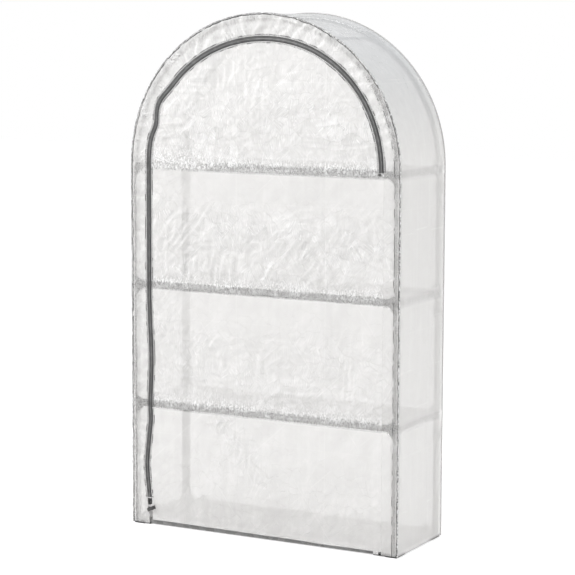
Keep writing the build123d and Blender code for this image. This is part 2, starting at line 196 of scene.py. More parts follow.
def new_group(name, inputs, outputs):
    tree = bpy.data.node_groups.new(name, "ShaderNodeTree")
    for socket, kind, value in inputs:
        made = tree.interface.new_socket(socket, in_out="INPUT", socket_type=kind)
        if value is not None:
            made.default_value = value
    for socket in outputs:
        tree.interface.new_socket(socket, in_out="OUTPUT", socket_type=FLOAT)
    graph = Graph(tree)
    graph.given = graph.node("NodeGroupInput").outputs
    graph.result = graph.node("NodeGroupOutput").inputs
    return graph


def new_material(name, **values):
    """A Principled material. The plain values go straight on the shader's sockets."""
    material = bpy.data.materials.new(name)
    material.use_nodes = True
    graph = Graph(material.node_tree)
    graph.material = material
    graph.shader = material.node_tree.nodes["Principled BSDF"]
    graph.dress(**values)
    return graph


def grey(value, tint=0.0):
    """A grey. A tint above zero is warmer and below zero is cooler."""
    return (value * (1 + tint), value, value * (1 - tint), 1.0)


FLOAT, VECTOR = "NodeSocketFloat", "NodeSocketVector"

# %% [markdown]
# Film that has been folded and packed is covered in small flat facets, and fine streaks run across each
# facet in a direction of its own. A Voronoi texture gives the facets: its position output is the middle of
# the nearest cell and its colour is random for each cell. So the place within a cell can be turned by a
# random angle and then stretched into streaks. A tilt that is random for each cell makes the facets catch
# the light differently.

# %% Crumpled film group: the facets
crumple = new_group(
    "crumple",
    [("Vector", VECTOR, None), ("Facet", FLOAT, 0.05), ("Streak", FLOAT, 0.004), ("Turn", FLOAT, 2.0)],
    ("Streak", "Shadow", "Facet", "Tilt"),
)
EDGE_WANDER = 24.0  # bends in a facet's edge, per metre
EDGE_BEND = 0.9  # how far the edge bends, in facets
where = crumple.given["Vector"]
centred = crumple.vector("SUBTRACT", crumple.noise(where, EDGE_WANDER)["Color"], (0.5, 0.5, 0.5))
bend = crumple.times(crumple.given["Facet"], EDGE_BEND)
bent = crumple.vector("ADD", where, crumple.vector("SCALE", centred, bend))
facet_scale = crumple.math("DIVIDE", 1.0, crumple.given["Facet"])
cells = crumple.node("ShaderNodeTexVoronoi", {"Vector": bent, "Scale": facet_scale}).outputs
in_cell = crumple.vector("SUBTRACT", where, cells["Position"])
luck = crumple.channels(cells["Color"])
parts = crumple.split(in_cell)
sideways = crumple.times(crumple.plus(parts["X"], parts["Y"]), crumple.minus(luck[1], 0.5))
upward = crumple.times(parts["Z"], crumple.minus(luck[2], 0.5))
crumple.feed(crumple.result["Facet"], luck[2])
crumple.feed(crumple.result["Tilt"], crumple.plus(sideways, upward))

# %% Crumpled film group: the streaks
STREAK_LONG = 0.08  # a streak's width over its length
CELL_SHIFT = 40.0  # moves each cell's streaks to a noise of their own
angle = crumple.times(crumple.minus(luck[0], 0.5), crumple.given["Turn"])
turned = crumple.node("ShaderNodeVectorRotate", {"Vector": in_cell, "Angle": angle}, rotation_type="Y_AXIS")
narrow = crumple.math("DIVIDE", 1.0, crumple.given["Streak"])
long_scale = crumple.times(narrow, STREAK_LONG)
stretch = crumple.node("ShaderNodeCombineXYZ", {"X": narrow, "Y": narrow, "Z": long_scale})
drawn = crumple.vector("MULTIPLY", turned.outputs[0], stretch.outputs[0])
apart = crumple.vector("ADD", drawn, crumple.vector("SCALE", cells["Color"], CELL_SHIFT))
fibres = crumple.noise(apart, 1.0)["Fac"]
# Streak marks fine streaks and Shadow the gaps between them. The film paints the streaks white, partly as painted
# highlights, and the gaps as painted shade.
crumple.feed(crumple.result["Streak"], crumple.spread(fibres, 0.50, 0.66, 0.0, 1.0))
crumple.feed(crumple.result["Shadow"], crumple.spread(fibres, 0.30, 0.40, 1.0, 0.0))
print("crumple group", len(crumple.tree.nodes), "nodes")

# %% [markdown]
# The cover was sold folded small, and straight creases are left from that. Four families of parallel lines
# cross the film: two are upright and level and go right across, and two lean and come and go. Each family
# has its turn, the distance between its lines, a shift, a strength and the channel of the noise that breaks
# it, if any.

# %% Packing crease group
packing = new_group("packing_creases", [("Vector", VECTOR, None), ("Width", FLOAT, 0.002)], ("Crease",))
FAMILIES = (
    (0.0, 0.263, 0.075, 0.5, None),
    (pi / 2, 0.317, 0.06, 0.3, None),
    (0.62, 0.21, 0.03, 0.75, 0),
    (-0.85, 0.17, 0.02, 0.75, 1),
)
where = packing.given["Vector"]
come_and_go = packing.channels(packing.noise(where, 7.0)["Color"])
crease = 0.0
for turn, pitch, shift, strength, channel in FAMILIES:
    aligned = packing.node("ShaderNodeVectorRotate", {"Vector": where, "Angle": turn}, rotation_type="Y_AXIS")
    level = packing.split(aligned.outputs[0])["X"]
    distance = packing.math("PINGPONG", packing.plus(level, shift), pitch / 2)
    line = packing.spread(packing.math("DIVIDE", distance, packing.given["Width"]), 0.0, 1.0, strength, 0.0)
    if channel is not None:
        line = packing.times(line, packing.spread(come_and_go[channel], 0.50, 0.56, 0.0, 1.0))
    crease = packing.larger(crease, line)
packing.feed(packing.result["Crease"], crease)
print("packing crease group", len(packing.tree.nodes), "nodes")

# %% [markdown]
# Moulded plastic and cast metal have a fine pebbled skin, and dust settles on them unevenly.

# %% Fine grain group
grain = new_group(
    "fine_grain",
    [("Vector", VECTOR, None), ("Size", FLOAT, 0.001), ("Patch", FLOAT, 0.02)],
    ("Height", "Dust"),
)
speck_scale = grain.math("DIVIDE", 1.0, grain.given["Size"])
patch_scale = grain.math("DIVIDE", 1.0, grain.given["Patch"])
patches = grain.noise(grain.given["Vector"], patch_scale)["Fac"]
grain.feed(grain.result["Height"], grain.noise(grain.given["Vector"], speck_scale)["Fac"])
grain.feed(grain.result["Dust"], grain.spread(patches, 0.4, 0.7, 0.0, 1.0))
print("fine grain group", len(grain.tree.nodes), "nodes")

# %% [markdown]
# Hot zinc sets as flat crystals, each a little lighter or darker than the next. Rolling and handling add
# long fine scratches along the sheet.

# %% Zinc crystal group
zinc = new_group(
    "zinc_crystals", [("Vector", VECTOR, None), ("Crystal", FLOAT, 0.012)], ("Shade", "Scratches")
)
CRYSTAL_SHARE = 0.6  # the rest of the shade is a slow cloud
SCRATCH_SCALE = (12.0, 900.0, 900.0)
where = zinc.given["Vector"]
crystal_scale = zinc.math("DIVIDE", 1.0, zinc.given["Crystal"])
crystals = zinc.node("ShaderNodeTexVoronoi", {"Vector": where, "Scale": crystal_scale}).outputs["Color"]
cloud = zinc.times(zinc.noise(where, 14.0, 4.0)["Fac"], 1 - CRYSTAL_SHARE)
along = zinc.node("ShaderNodeMapping", {"Vector": where, "Scale": SCRATCH_SCALE}).outputs[0]
zinc.feed(zinc.result["Shade"], zinc.plus(zinc.times(zinc.channels(crystals)[0], CRYSTAL_SHARE), cloud))
zinc.feed(zinc.result["Scratches"], zinc.noise(along, 1.0)["Fac"])
print("zinc group", len(zinc.tree.nodes), "nodes")

# %% [markdown]
# ### Clear film
# Clear film is partly see-through, so its opacity is low and a pale base colour stands for the light that
# it scatters. Values painted on the mesh steer it:
# - "crinkle" says how crumpled the film is there, and "cloud" where the crumples crowd into white patches.
# - "pinch" says where the film is pulled tight over an edge, so that fine white pleats gather.
# - "contact" marks where it lies against steel or plastic, because haze hides what is far behind the film
#   but hardly what touches it. Small dark specks of painted shade show there too.
# - "hem" is where it is folded double, and its lowest edge gets a painted shadow line.
# - The last value is painted light and shade: above a half where a wave of the mesh faces the light at the
#   upper left, and below it where the wave turns away.
#
# Each of them adds a white mark or a dark one. The white marks are partly the whitening of creased and
# doubled film and partly painted highlights where the film would catch the light. White marks also make
# the film less see-through.

# %% The film's white and dark marks
LOOKS = ("crinkle", "cloud", "pinch", "contact", "hem", "relief")
FACET = 28 * MM
STREAK = 2.5 * MM
CREASE = 1.9 * MM
SCRIBBLE_SCALE = (230, 230, 110)
DRAPE_SCALE = (70, 70, 3.0)
# How white each mark makes the film: partly the film's own whitening, partly painted highlights.
WHITENESS = {
    "streak": 0.36,
    "pleat": 1.0,
    "patch": 0.34,
    "relief": 1.5,
    "drape": 0.03,
    "fold": 0.24,
    "hem": 0.2,
}
SEAM_PLEAT = 0.35  # the border's pleats are weaker, because it has fold lines of its own


def white_marks(g, painted, facets, crumpled, fold, pleat):
    """Adds up the white marks, each times how white it is. They are partly the film's whitening where it is
    creased or doubled and partly painted highlights. The mark from the waves' slope is painted light only.
    """
    marks = {
        "streak": g.times(facets["Streak"], crumpled),
        "pleat": pleat,
        "patch": g.times(painted["cloud"], g.times(painted["crinkle"], facets["Facet"])),
        # painted light: white where a wave faces the light at the upper left
        "relief": g.larger(g.minus(painted["relief"], 0.5), 0.0),
        "drape": g.spread(g.noise(g.place(DRAPE_SCALE), 1.0, 3.0)["Fac"], 0.42, 0.72, 0.0, 1.0),
        "fold": fold,
        "hem": painted["hem"],
    }
    white = 0.0
    for name, mark in marks.items():
        white = g.plus(white, g.times(mark, WHITENESS[name]))
    return g.math("MINIMUM", white, 1.0)


def shadow_marks(g, painted, facets, crumpled):
    """Painted shade: the dark side of the crumples, and of the waves where they turn away from the light."""
    painted_wave_shade = g.larger(g.times(g.minus(0.5, painted["relief"]), 1.6), 0.0)
    return g.larger(g.times(g.times(facets["Shadow"], crumpled), 0.6), painted_wave_shade, clamp=True)


def dark_marks(g, painted, level, scribble):
    """Painted shade: dark specks where the film lies on something, and a painted shadow line along the
    hem's lowest edge.
    """
    contact_shade = g.times(g.spread(scribble, 0.42, 0.48, 1.0, 0.0), painted["contact"])
    contact_shade = g.times(contact_shade, g.spread(painted["pinch"], 0.0, 0.3, 0.3, 1.0))
    hem_shadow_line = g.times(g.spread(level, hem_z + 0.8 * MM, hem_z + 2.0 * MM, 1.0, 0.0), 0.8)
    return g.larger(hem_shadow_line, g.times(contact_shade, 0.5))


# %% [markdown]
# The border has lines of its own, all painted light and shade. Broken dark lines of painted shade stand for
# the edges of the arch tube behind the film, and short folds fan out from the zipper with a painted highlight
# on one side and painted shade on the other. They follow the border's own UV map round the arch. A dark line
# has its place across the border, a half width, the noise value it is cut at, and the X that it starts
# from.

# %% The border's seams and folds
BORDER_TUBE_SHADE_LINES = ((0.0226, 0.0013, 0.34, -1.0), (0.0080, 0.0010, 0.42, 0.28))
TUBE_LINE_WOBBLE = 6 * MM
FOLD_PITCH = 5.5 * MM


def border_painted_lines(g, tube_lines, pinch, x):
    """Painted light and shade: a highlight on one side of each fold, and dark lines of painted shade
    beside the folds and along the arch tube's edges.
    """
    run = g.run()
    place = g.split(run)
    worn = g.noise(run, 60.0, 3.0)["Fac"]
    broken = g.noise(run, 34.0, 4.0)["Fac"]
    wobble = g.times(g.minus(worn, 0.5), TUBE_LINE_WOBBLE)
    slow = g.noise(run, 9.0, 1.0)["Fac"]
    fan = g.plus(g.plus(place["X"], g.times(place["Y"], 0.7)), g.times(g.minus(slow, 0.5), 0.08))
    sharp = g.math("PINGPONG", fan, FOLD_PITCH)
    gather = g.times(pinch, g.spread(worn, 0.42, 0.54, 0.0, 1.0))
    # A painted highlight on one side of each fold, and painted shade on the other.
    light = g.times(g.spread(sharp, 0.0, 1.3 * MM, 1.0, 0.0), gather, clamp=True)
    dark = g.times(g.spread(sharp, 4.6 * MM, FOLD_PITCH, 0.0, 0.7), gather, clamp=True)
    # Each of these dark lines is painted shade along an edge of the arch tube behind the film.
    for seam, wide, gap, from_x in tube_lines:
        distance = g.math("ABSOLUTE", g.plus(g.minus(place["Y"], seam), wobble), 0.0)
        line = g.spread(distance, wide / 2, wide, 1.0, 0.0)
        line = g.times(line, g.spread(broken, gap, gap + 0.08, 0.0, 1.0))
        dark = g.larger(dark, g.times(line, g.spread(x, from_x, from_x + 0.05, 0.0, 1.0)))
    return light, dark


# %% Film material


def film_material(name, haze, milk, tube_lines=(), top=None):
    """Haze is the plain film's opacity and milk its grey. Top, if given, is painted shade:
    a darker, cooler grey at the very top.
    """
    g = new_material(name, IOR=1.46)
    where = g.place()
    split = g.split(where)
    painted = {look: g.node("ShaderNodeAttribute", attribute_name=look).outputs["Fac"] for look in LOOKS}
    facets = g.pattern(crumple, Vector=where, Facet=FACET, Streak=STREAK, Turn=1.9)
    crumpled = g.times(painted["crinkle"], g.plus(g.times(painted["cloud"], 0.65), 0.35))
    fold = g.pattern(packing, Vector=where, Width=CREASE)["Crease"]
    fold = g.times(fold, g.spread(painted["crinkle"], 0.0, 0.8, 0.35, 1.0, "LINEAR"))
    scribble = g.noise(g.place(SCRIBBLE_SCALE), 1.0, 3.0, 1.6)["Fac"]
    pleat = g.times(g.spread(scribble, 0.46, 0.56, 0.0, 1.0), painted["pinch"])
    if tube_lines:
        pleat = g.times(pleat, SEAM_PLEAT)
    white = white_marks(g, painted, facets, crumpled, fold, pleat)
    dark = dark_marks(g, painted, split["Z"], scribble)

    plain = grey(milk, 0.012)
    # Painted shade: towards the top of the roof the film turns a darker, cooler grey.
    if top:
        plain = g.colour(g.spread(split["Z"], 1.0, 1.33, 0.0, 1.0), plain, grey(top, -0.02))
    shadow = g.times(shadow_marks(g, painted, facets, crumpled), 0.75)
    shade = g.colour(white, g.colour(shadow, plain, grey(milk * 0.45)), grey(0.98))
    shade = g.colour(dark, shade, grey(0.10, 0.01))
    clear = g.spread(painted["contact"], 0.0, 1.0, haze, haze * 0.16, "LINEAR")
    alpha = g.larger(g.plus(clear, g.times(white, 0.5), clamp=True), dark)
    if tube_lines:
        # The border's painted fold highlights and its painted shade lines.
        fold_highlight, line = border_painted_lines(g, tube_lines, painted["pinch"], split["X"])
        white = g.larger(white, fold_highlight)
        alpha = g.larger(g.larger(alpha, g.times(fold_highlight, 0.7)), g.times(line, 0.75))
        shade = g.colour(line, g.colour(fold_highlight, shade, grey(0.98)), grey(0.07, -0.02))

    height = g.times(g.times(facets["Tilt"], painted["crinkle"]), 0.5)
    streak = g.times(facets["Streak"], crumpled)
    height = g.plus(height, g.times(g.plus(streak, pleat), 0.9 * MM))
    height = g.plus(height, g.times(fold, 0.5 * MM))
    rough = g.spread(white, 0.0, 0.6, 0.14, 0.35)
    return g.dress(Alpha=alpha, Base_Color=shade, Normal=g.bump(height, 1.0, 1.0), Roughness=rough)


clear_film = film_material("clear film", 0.44, 0.86)
# The side film's top is painted shade.
side_film = film_material("clear side film", 0.46, 0.80, top=0.67)
# The border's film carries the painted fold highlights and the painted shade lines.
border_clear_film = film_material("clear film with painted shade lines", 0.42, 0.84, BORDER_TUBE_SHADE_LINES)
milky_film = film_material("milky film", 0.5, 0.84)
# The front and back cords are one kind of piping. Their greys and hazes differ to match how each is lit, which is
# painted light and shade.
piping_film = film_material("piping", 0.65, 0.22)
back_piping_film = film_material("back piping", 0.55, 0.45)
print("film materials", [m.name for m in (clear_film, side_film, border_clear_film, milky_film)])

# %% [markdown]
# ### Steel, plastic and zipper finishes
# The rack is pressed from galvanised sheet, and its arches are a duller galvanised tube. The joint sleeves,
# feet and pull tab are moulded, and the slider is a casting. One function makes each kind, with a few
# values of its own.

# %% Steel materials


def steel_material(name, crystal, dark, light, rough):
    g = new_material(name, Metallic=0.8)
    pattern = g.pattern(zinc, Vector=g.place(), Crystal=crystal)
    shade = g.spread(pattern["Shade"], 0.2, 0.8, 0.0, 1.0)
    return g.dress(
        Base_Color=g.colour(shade, grey(dark, 0.01), grey(light, 0.004)),
        Roughness=g.spread(pattern["Shade"], 0.2, 0.8, rough + 0.1, rough),
        Normal=g.bump(pattern["Scratches"], 0.07, 0.3 * MM),
    )


sheet_steel = steel_material("galvanised sheet", 0.014, 0.60, 0.80, 0.30)
tube_steel = steel_material("galvanised tube", 0.006, 0.40, 0.58, 0.22)
zinc_plate = steel_material("zinc plate", 0.003, 0.50, 0.66, 0.25)

# %% Plastic, cast and woven materials


def grained_material(name, dark, light, rough, size=0.0009, depth=0.0002, metallic=0.0):
    g = new_material(name, Metallic=metallic)
    skin = g.pattern(grain, Vector=g.place(), Size=size, Patch=0.015)
    return g.dress(
        Base_Color=g.colour(skin["Dust"], grey(dark), grey(light)),
        Roughness=g.spread(skin["Dust"], 0.0, 1.0, rough, rough + 0.15),
        Normal=g.bump(skin["Height"], 0.4, depth),
    )


black_plastic = grained_material("black plastic", 0.012, 0.03, 0.45)
grey_plastic = grained_material("grey plastic", 0.42, 0.52, 0.40)
coil_nylon = grained_material("coil nylon", 0.12, 0.20, 0.38, 0.0006, 0.0001)
slider_metal = grained_material("slider metal", 0.16, 0.24, 0.32, 0.0007, 0.0001, 0.8)
tab_plastic = grained_material("pull tab plastic", 0.07, 0.11, 0.42)
thread_grey = grained_material("grey thread", 0.07, 0.14, 0.6, 0.0005, 0.0002)

# %% [markdown]
# The tape is woven dark where the coils sit and is a pale, thin weave beyond, where it lies on the film.
# Its own UV map carries the pattern round the arch: U runs along the tape in metres and V across it.

# %% Tape material
WEAVE_ALONG, WEAVE_ACROSS = 0.9 * MM, 0.7 * MM
DARK_HALF = 6.4 * MM
TAPE_RIM = 9.8 * MM


def tape_material():
    g = new_material("zipper tape", Roughness=0.75)
    run = g.run()
    split = g.split(run)
    threads = [
        g.math("SINE", g.times(split[axis], 2 * pi / pitch), 0.0)
        for axis, pitch in (("X", WEAVE_ALONG), ("Y", WEAVE_ACROSS))
    ]
    weave = g.times(*threads)
    aside = g.math("ABSOLUTE", split["Y"], 0.0)
    beyond = g.spread(aside, DARK_HALF, DARK_HALF + 0.6 * MM, 0.0, 1.0)
    dark = g.colour(g.spread(weave, -1.0, 1.0, 0.0, 1.0, "LINEAR"), grey(0.03), grey(0.07))
    pale = g.colour(g.noise(run, 60.0, 3.0)["Fac"], grey(0.55), grey(0.78))
    dashes = g.spread(g.noise(run, 45.0, 3.0)["Fac"], 0.50, 0.56, 0.0, 1.0)
    edge = g.times(g.spread(aside, TAPE_RIM, TAPE_RIM + 0.8 * MM, 0.0, 1.0), dashes)
    see_through = g.times(beyond, g.spread(edge, 0.0, 1.0, 0.9, 0.45))
    return g.dress(
        Base_Color=g.colour(beyond, dark, g.colour(edge, pale, grey(0.16))),
        Alpha=g.minus(1.0, see_through),
        Normal=g.bump(weave, 0.5, 0.2 * MM),
    )


zip_tape = tape_material()

# %% [markdown]
# Each CAD piece gets the finish that its slot in the record names. The soft ones are replaced further down,
# and they get one as well, so that nothing is left plain.

# %% Give the CAD pieces their finishes
finishes = {
    "galvanised_steel": sheet_steel,
    "arch_steel": tube_steel,
    "fastener_steel": zinc_plate,
    "foot_plastic": black_plastic,
    "joint_plastic": grey_plastic,
    "cover_film": clear_film,
    "piping": piping_film,
    "strap_film": milky_film,
    "zip_tape": zip_tape,
    "zip_teeth": coil_nylon,
    "zip_metal": slider_metal,
    "tab_plastic": tab_plastic,
}
for subpart in frame["record"]["subparts"]:
    cad_object = nodes[subpart["node"]]
    finish = finishes[subpart["material_slot"]]
    for index in range(len(cad_object.data.materials)):
        cad_object.data.materials[index] = finish
    if not cad_object.data.materials:
        cad_object.data.materials.append(finish)
print(len(nodes), "CAD pieces have a finish")

# %% [markdown]
# ## Film panels
# The cover is cut from flat film, so each panel starts as a flat grid. A grid is cut to the arch with
# planes, as scissors would, or is bent round the arch as a long strip. Then its points are pushed in and
# out a little, because film hangs in shallow waves between the places that hold it.

# %% Piece helper


def make_piece(name, bm, body, material, replaced=(), smooth=True):
    """Turns a bmesh into a finished piece that rides on a body and stands for the replaced CAD nodes."""
    mesh = bpy.data.meshes.new(name)
    bm.to_mesh(mesh)
    bm.free()
    piece = bpy.data.objects.new(name, mesh)
    bpy.context.scene.collection.objects.link(piece)
    mesh.materials.append(material)
    if smooth:
        mesh.shade_smooth()
    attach(piece, body)
    if replaced:
        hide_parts(*replaced)
    print(name, len(mesh.polygons), "faces")
    return piece


def thicken(piece, thickness):
    """Gives film its thickness, half to each side. The wide faces set the shading, not the thin rim's."""
    solid = piece.modifiers.new("thickness", "SOLIDIFY")
    solid.thickness = thickness
    solid.offset = 0.0
    even = piece.modifiers.new("even shading", "WEIGHTED_NORMAL")
    even.weight = 100


# %% [markdown]
# The zipper doesn't follow a perfect arch. The film pulls it sideways in a few slow bulges, and there is
# one sharp kink where the packing folded it. Each bulge is a place along the zipper, a half width and a
# push outwards. Everything sewn to the zipper follows the same line.

# %% The zipper's line
FILM = 0.4 * MM
BULGES = (
    (0.165, 0.048, 8.5 * MM),
    (0.292, 0.022, -3.0 * MM),
    (0.455, 0.075, -6.0 * MM),
    (1.092, 0.019, -6.5 * MM),
    (1.150, 0.026, 8.5 * MM),
    (1.480, 0.170, -12.0 * MM),
)
arc_end = spring_z + pi * zip_radius


def step(value, low, high):
    """Smoothly from 0 at low to 1 at high."""
    t = min(1.0, max(0.0, (value - low) / (high - low)))
    return t * t * (3 - 2 * t)


def sway(travel):
    """How far the zipper stands outside its plain arch, travel metres along it from the floor."""
    return sum(push * exp(-(((travel - middle) / width) ** 2) / 2) for middle, width, push in BULGES)


def unroll(x, z):
    """Travel along the zipper's arch, and distance from the arch's middle line, for a point of the front."""
    if z > spring_z:
        angle = atan2(z - spring_z, x)
        return spring_z + (pi - angle) * zip_radius, hypot(x, z - spring_z)
    if x < 0:
        return z, -x
    return arc_end + spring_z - z, x


def outward(travel):
    """The point of the centre line that the arch turns about there, and the direction away from it."""
    if travel <= spring_z:
        return Vector((0, 0, travel)), Vector((-1, 0, 0))
    if travel <= arc_end:
        angle = pi - (travel - spring_z) / zip_radius
        return Vector((0, 0, spring_z)), Vector((cos(angle), 0, sin(angle)))
    return Vector((0, 0, spring_z + arc_end - travel)), Vector((1, 0, 0))


def follow_zipper(vert, reach):
    """Moves a point of the front film sideways with the zipper, fading out over reach."""
    travel, away = unroll(vert.co.x, vert.co.z)
    fade = step(reach - abs(away - zip_radius), 0.0, reach)
    vert.co += outward(travel)[1] * sway(travel) * fade


# %% [markdown]
# The next functions say, for any place on the front, how the film lies there. The mesh's waves and the
# painted values both come from them, so a crumple that is seen is also a crumple that stands out.

# %% How crumpled the front is
ROUGHNESS, FINENESS, LAYERS = 0.7, 2.1, 3


def wave(place, size, seed):
    """Slow noise between about -1 and 1, with waves of that size."""
    return noise.fractal(place / size + Vector((seed, seed * 0.7, -seed)), ROUGHNESS, FINENESS, LAYERS)


def tier_of(z):
    """Which tier a height is in and how far up that tier it is, from 0 to 1."""
    floors = [low.z for low, high in shelf_boxes] + [cad_box[1].z]
    for index in range(len(tiers)):
        if z < floors[index + 1] or index == len(tiers) - 1:
            return index, (z - floors[index]) / (floors[index + 1] - floors[index])


TIER_CRINKLE = (0.12, 0.52, 0.95, 1.0)


def front_crinkle(x, z):
    """The front is crumpled above each shelf, most near the top, and smooth just under each lip.

    The two lowest tiers also have a trail of creases that runs down from the left. The left edge is rough.
    """
    index, share = tier_of(z)
    if index == len(tiers) - 1:
        return 0.6 + 0.4 * (1 - step(share, 0.25, 0.7))
    rough = TIER_CRINKLE[index] * (1 - step(share, 0.5, 0.85)) + 0.06
    left = 0.4 * step(-x, 0.20, 0.33) * step(share, 0.2, 0.8) * (index > 0)
    trail_x = 0.75 * (0.55 - z) - 0.30
    trail = exp(-(((x - trail_x) / 0.05) ** 2)) * step(z, 0.05, 0.2) * (1 - step(z, 0.45, 0.62))
    return min(1.0, max(rough + left, 0.8 * trail))


lips = shelf_boxes[1:]
lip_middles = [(low.z + high.z) / 2 for low, high in lips]
PLEATS_ABOVE, PLEATS_BELOW = 24 * MM, 11 * MM


def lip_pinch(z):
    """The film gathers where it is pulled over a shelf's lip, and most of the pleats run on above the lip."""
    rises = [z - middle - 3 * MM for middle in lip_middles]
    return max(exp(-((rise / (PLEATS_ABOVE if rise > 0 else PLEATS_BELOW)) ** 2)) for rise in rises)


def top_bunch(x, z):
    """At the left of the top shelf the film is bunched up so much that it hides the lip."""
    rise = z - lips[-1][1].z
    up = 1 - step(rise, 0.0, 70 * MM) if rise > 0 else step(rise, -22 * MM, -16 * MM)
    return up * (1 - step(x, -0.24, -0.06))


def crowding(place, seed):
    """Cloudy patches where the crumples crowd together."""
    wide = Vector((place.x * 0.55, place.y, place.z))
    return step(wave(wide, 0.06, seed) + 0.4 * wave(place, 0.03, seed + 1), -0.25, 0.4)


# %% Where the film lies on something
arch_low, arch_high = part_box("front_arch_middle")
tube_width = arch_high.y - arch_low.y
tube_radius = arch_high.z - spring_z - tube_width / 2
FLANGE_X, FLARE = 386 * MM, 19 * MM
FLARE_BELOW, FLARE_ABOVE = 21 * MM, 12 * MM
HEM = 14 * MM


def near_lip(z, soft_edge):
    """1 on a shelf's lip, down to 0 at soft_edge from its middle line."""
    return max(1 - step(abs(z - middle), 9 * MM, soft_edge) for middle in lip_middles)


def leg_flare(z):
    """1 where the legs' flanges are flared out at one of the upper shelves."""
    return max(
        step(z, low.z - FLARE_BELOW, low.z) * (1 - step(z, high.z, high.z + FLARE_ABOVE))
        for low, high in lips
    )


def front_contact(x, z):
    """1 where the front film lies on a lip, a leg or the tube behind it, and less where it lies loosely."""
    on_lip = near_lip(z, 12 * MM) * (1 - 0.8 * top_bunch(x, z))
    if z > spring_z:
        away = abs(hypot(x, z - spring_z) - tube_radius)
        tube = 0.25 + 0.4 * step(x, 0.25, 0.35)
        return max(on_lip, tube * (1 - step(away, tube_width * 0.45, tube_width * 0.75)))
    on_hem = 0.8 * (1 - step(z, 7 * MM, 10 * MM))
    flange = FLANGE_X - FLARE * leg_flare(z)
    leg = step(abs(x), flange - 3 * MM, flange + MM) * (1 - step(abs(x), 391 * MM, 394 * MM))
    return max(on_lip, on_hem, leg * (1 - 0.25 * step(x, 0.0, 0.3)))


def hem_above(low_z):
    """Marks the hem of a film whose lowest edge is at that height."""
    return lambda place: 1 - step(place.z, low_z, low_z + HEM)


# %% Creases that stand out


def creased(place, wide, long, lean, seed):
    """Sharp creases that run along a leaning line, from about -0.3 to 0.5."""
    along = place.x * sin(lean) + place.z * cos(lean)
    across = place.x * cos(lean) - place.z * sin(lean)
    return 0.5 - abs(noise.noise(Vector((across / wide, place.y * 9 + seed, along / long))))


LEANS = ((-0.75, 21.0), (0.05, 22.0), (0.7, 23.0), (1.5, 24.0))


def crumple_height(place):
    """Creases of four directions, each strongest in regions of its own."""
    total, weights = 0.0, 0.0
    for lean, seed in LEANS:
        weight = step(wave(place, 0.16, seed), -0.25, 0.3)
        close = creased(place, 0.017, 0.06, lean, seed)
        total += weight * (close + 0.6 * creased(place, 0.03, 0.1, lean, -seed))
        weights += weight
    return total / max(weights, 0.6)


SLOPE_REACH = 2.5 * MM
SLOPE_GAIN = 1.5


def slope(height, place):
    """0.5 on the flat, more where the film faces the light at the upper left and less where it turns away."""
    towards = Vector((-SLOPE_REACH, 0, SLOPE_REACH))
    rise = height(place - towards) - height(place + towards)
    return 0.5 + SLOPE_GAIN * rise / (2 * towards.length)


def paint(bm, **looks):
    """Stores the film material's painted values on each point. Each look is a function of the place."""
    # A piece without its own painted light and shade stays even, at a half.
    looks.setdefault("relief", lambda p: 0.5)
    for name, look in looks.items():
        layer = bm.verts.layers.float.new(name)
        for vert in bm.verts:
            vert[layer] = max(0.0, min(1.0, look(vert.co)))


# %% [markdown]
# The seam that joins the front and back films to the side film wanders a little too, because nothing holds
# it but the tube inside.

# %% The seam's wander


def rim(travel, seed):
    """How far the outer seam stands outside its plain outline, travel metres along it."""
    slow = noise.noise(Vector((travel / 0.075, seed, 0.0)))
    quick = noise.noise(Vector((travel / 0.022, seed, 5.0)))
    upright = 1 - step(travel, spring_z - 0.05, spring_z + 0.1)
    return (1.7 * slow + 0.8 * quick) * MM * step(travel, 0.0, 0.05) * (0.3 + 0.7 * upright)


# %% [markdown]
# ### Door film
# The grid covers the doorway up to the top of the arch. A ring of planes cuts it round, and the right-hand
# edge is extruded out to the line that the door folds about. The grid's rows are close, about 5 mm, so that
# it can take the small waves.

# %% Door film
DOOR_CELL = 5 * MM
ARCH_CUTS = 40


def upright_grid(left, right, low, high, y, cell):
    """A flat grid standing in the XZ plane. Its faces point to -Y."""
    bm = bmesh.new()
    wide, tall = right - left, high - low
    stand = Matrix.Translation(((left + right) / 2, y, (low + high) / 2)) @ Matrix.Rotation(pi / 2, 4, "X")
    shape = stand @ Matrix.Diagonal((wide, tall, 1, 1))
    columns, rows = round(wide / cell), round(tall / cell)
    bmesh.ops.create_grid(bm, x_segments=columns, y_segments=rows, size=0.5, matrix=shape)
    return bm


def cut_to_arch(bm, radius, y):
    """Cuts away everything above the spring line that is outside the arch."""
    everything = bm.verts[:] + bm.edges[:] + bm.faces[:]
    bmesh.ops.bisect_plane(bm, geom=everything, plane_co=(0, y, spring_z), plane_no=(0, 0, 1))
    for cut in range(ARCH_CUTS):
        angle = pi * (cut + 0.5) / ARCH_CUTS
        away = Vector((cos(angle), 0, sin(angle)))
        tangent = Vector((0, y, spring_z)) + away * radius
        faces = [f for f in bm.faces if f.calc_center_median().z > spring_z]
        edges = {e for f in faces for e in f.edges}
        verts = {v for f in faces for v in f.verts}
        bmesh.ops.bisect_plane(
            bm, geom=[*verts, *edges, *faces], plane_co=tangent, plane_no=away, clear_outer=True
        )


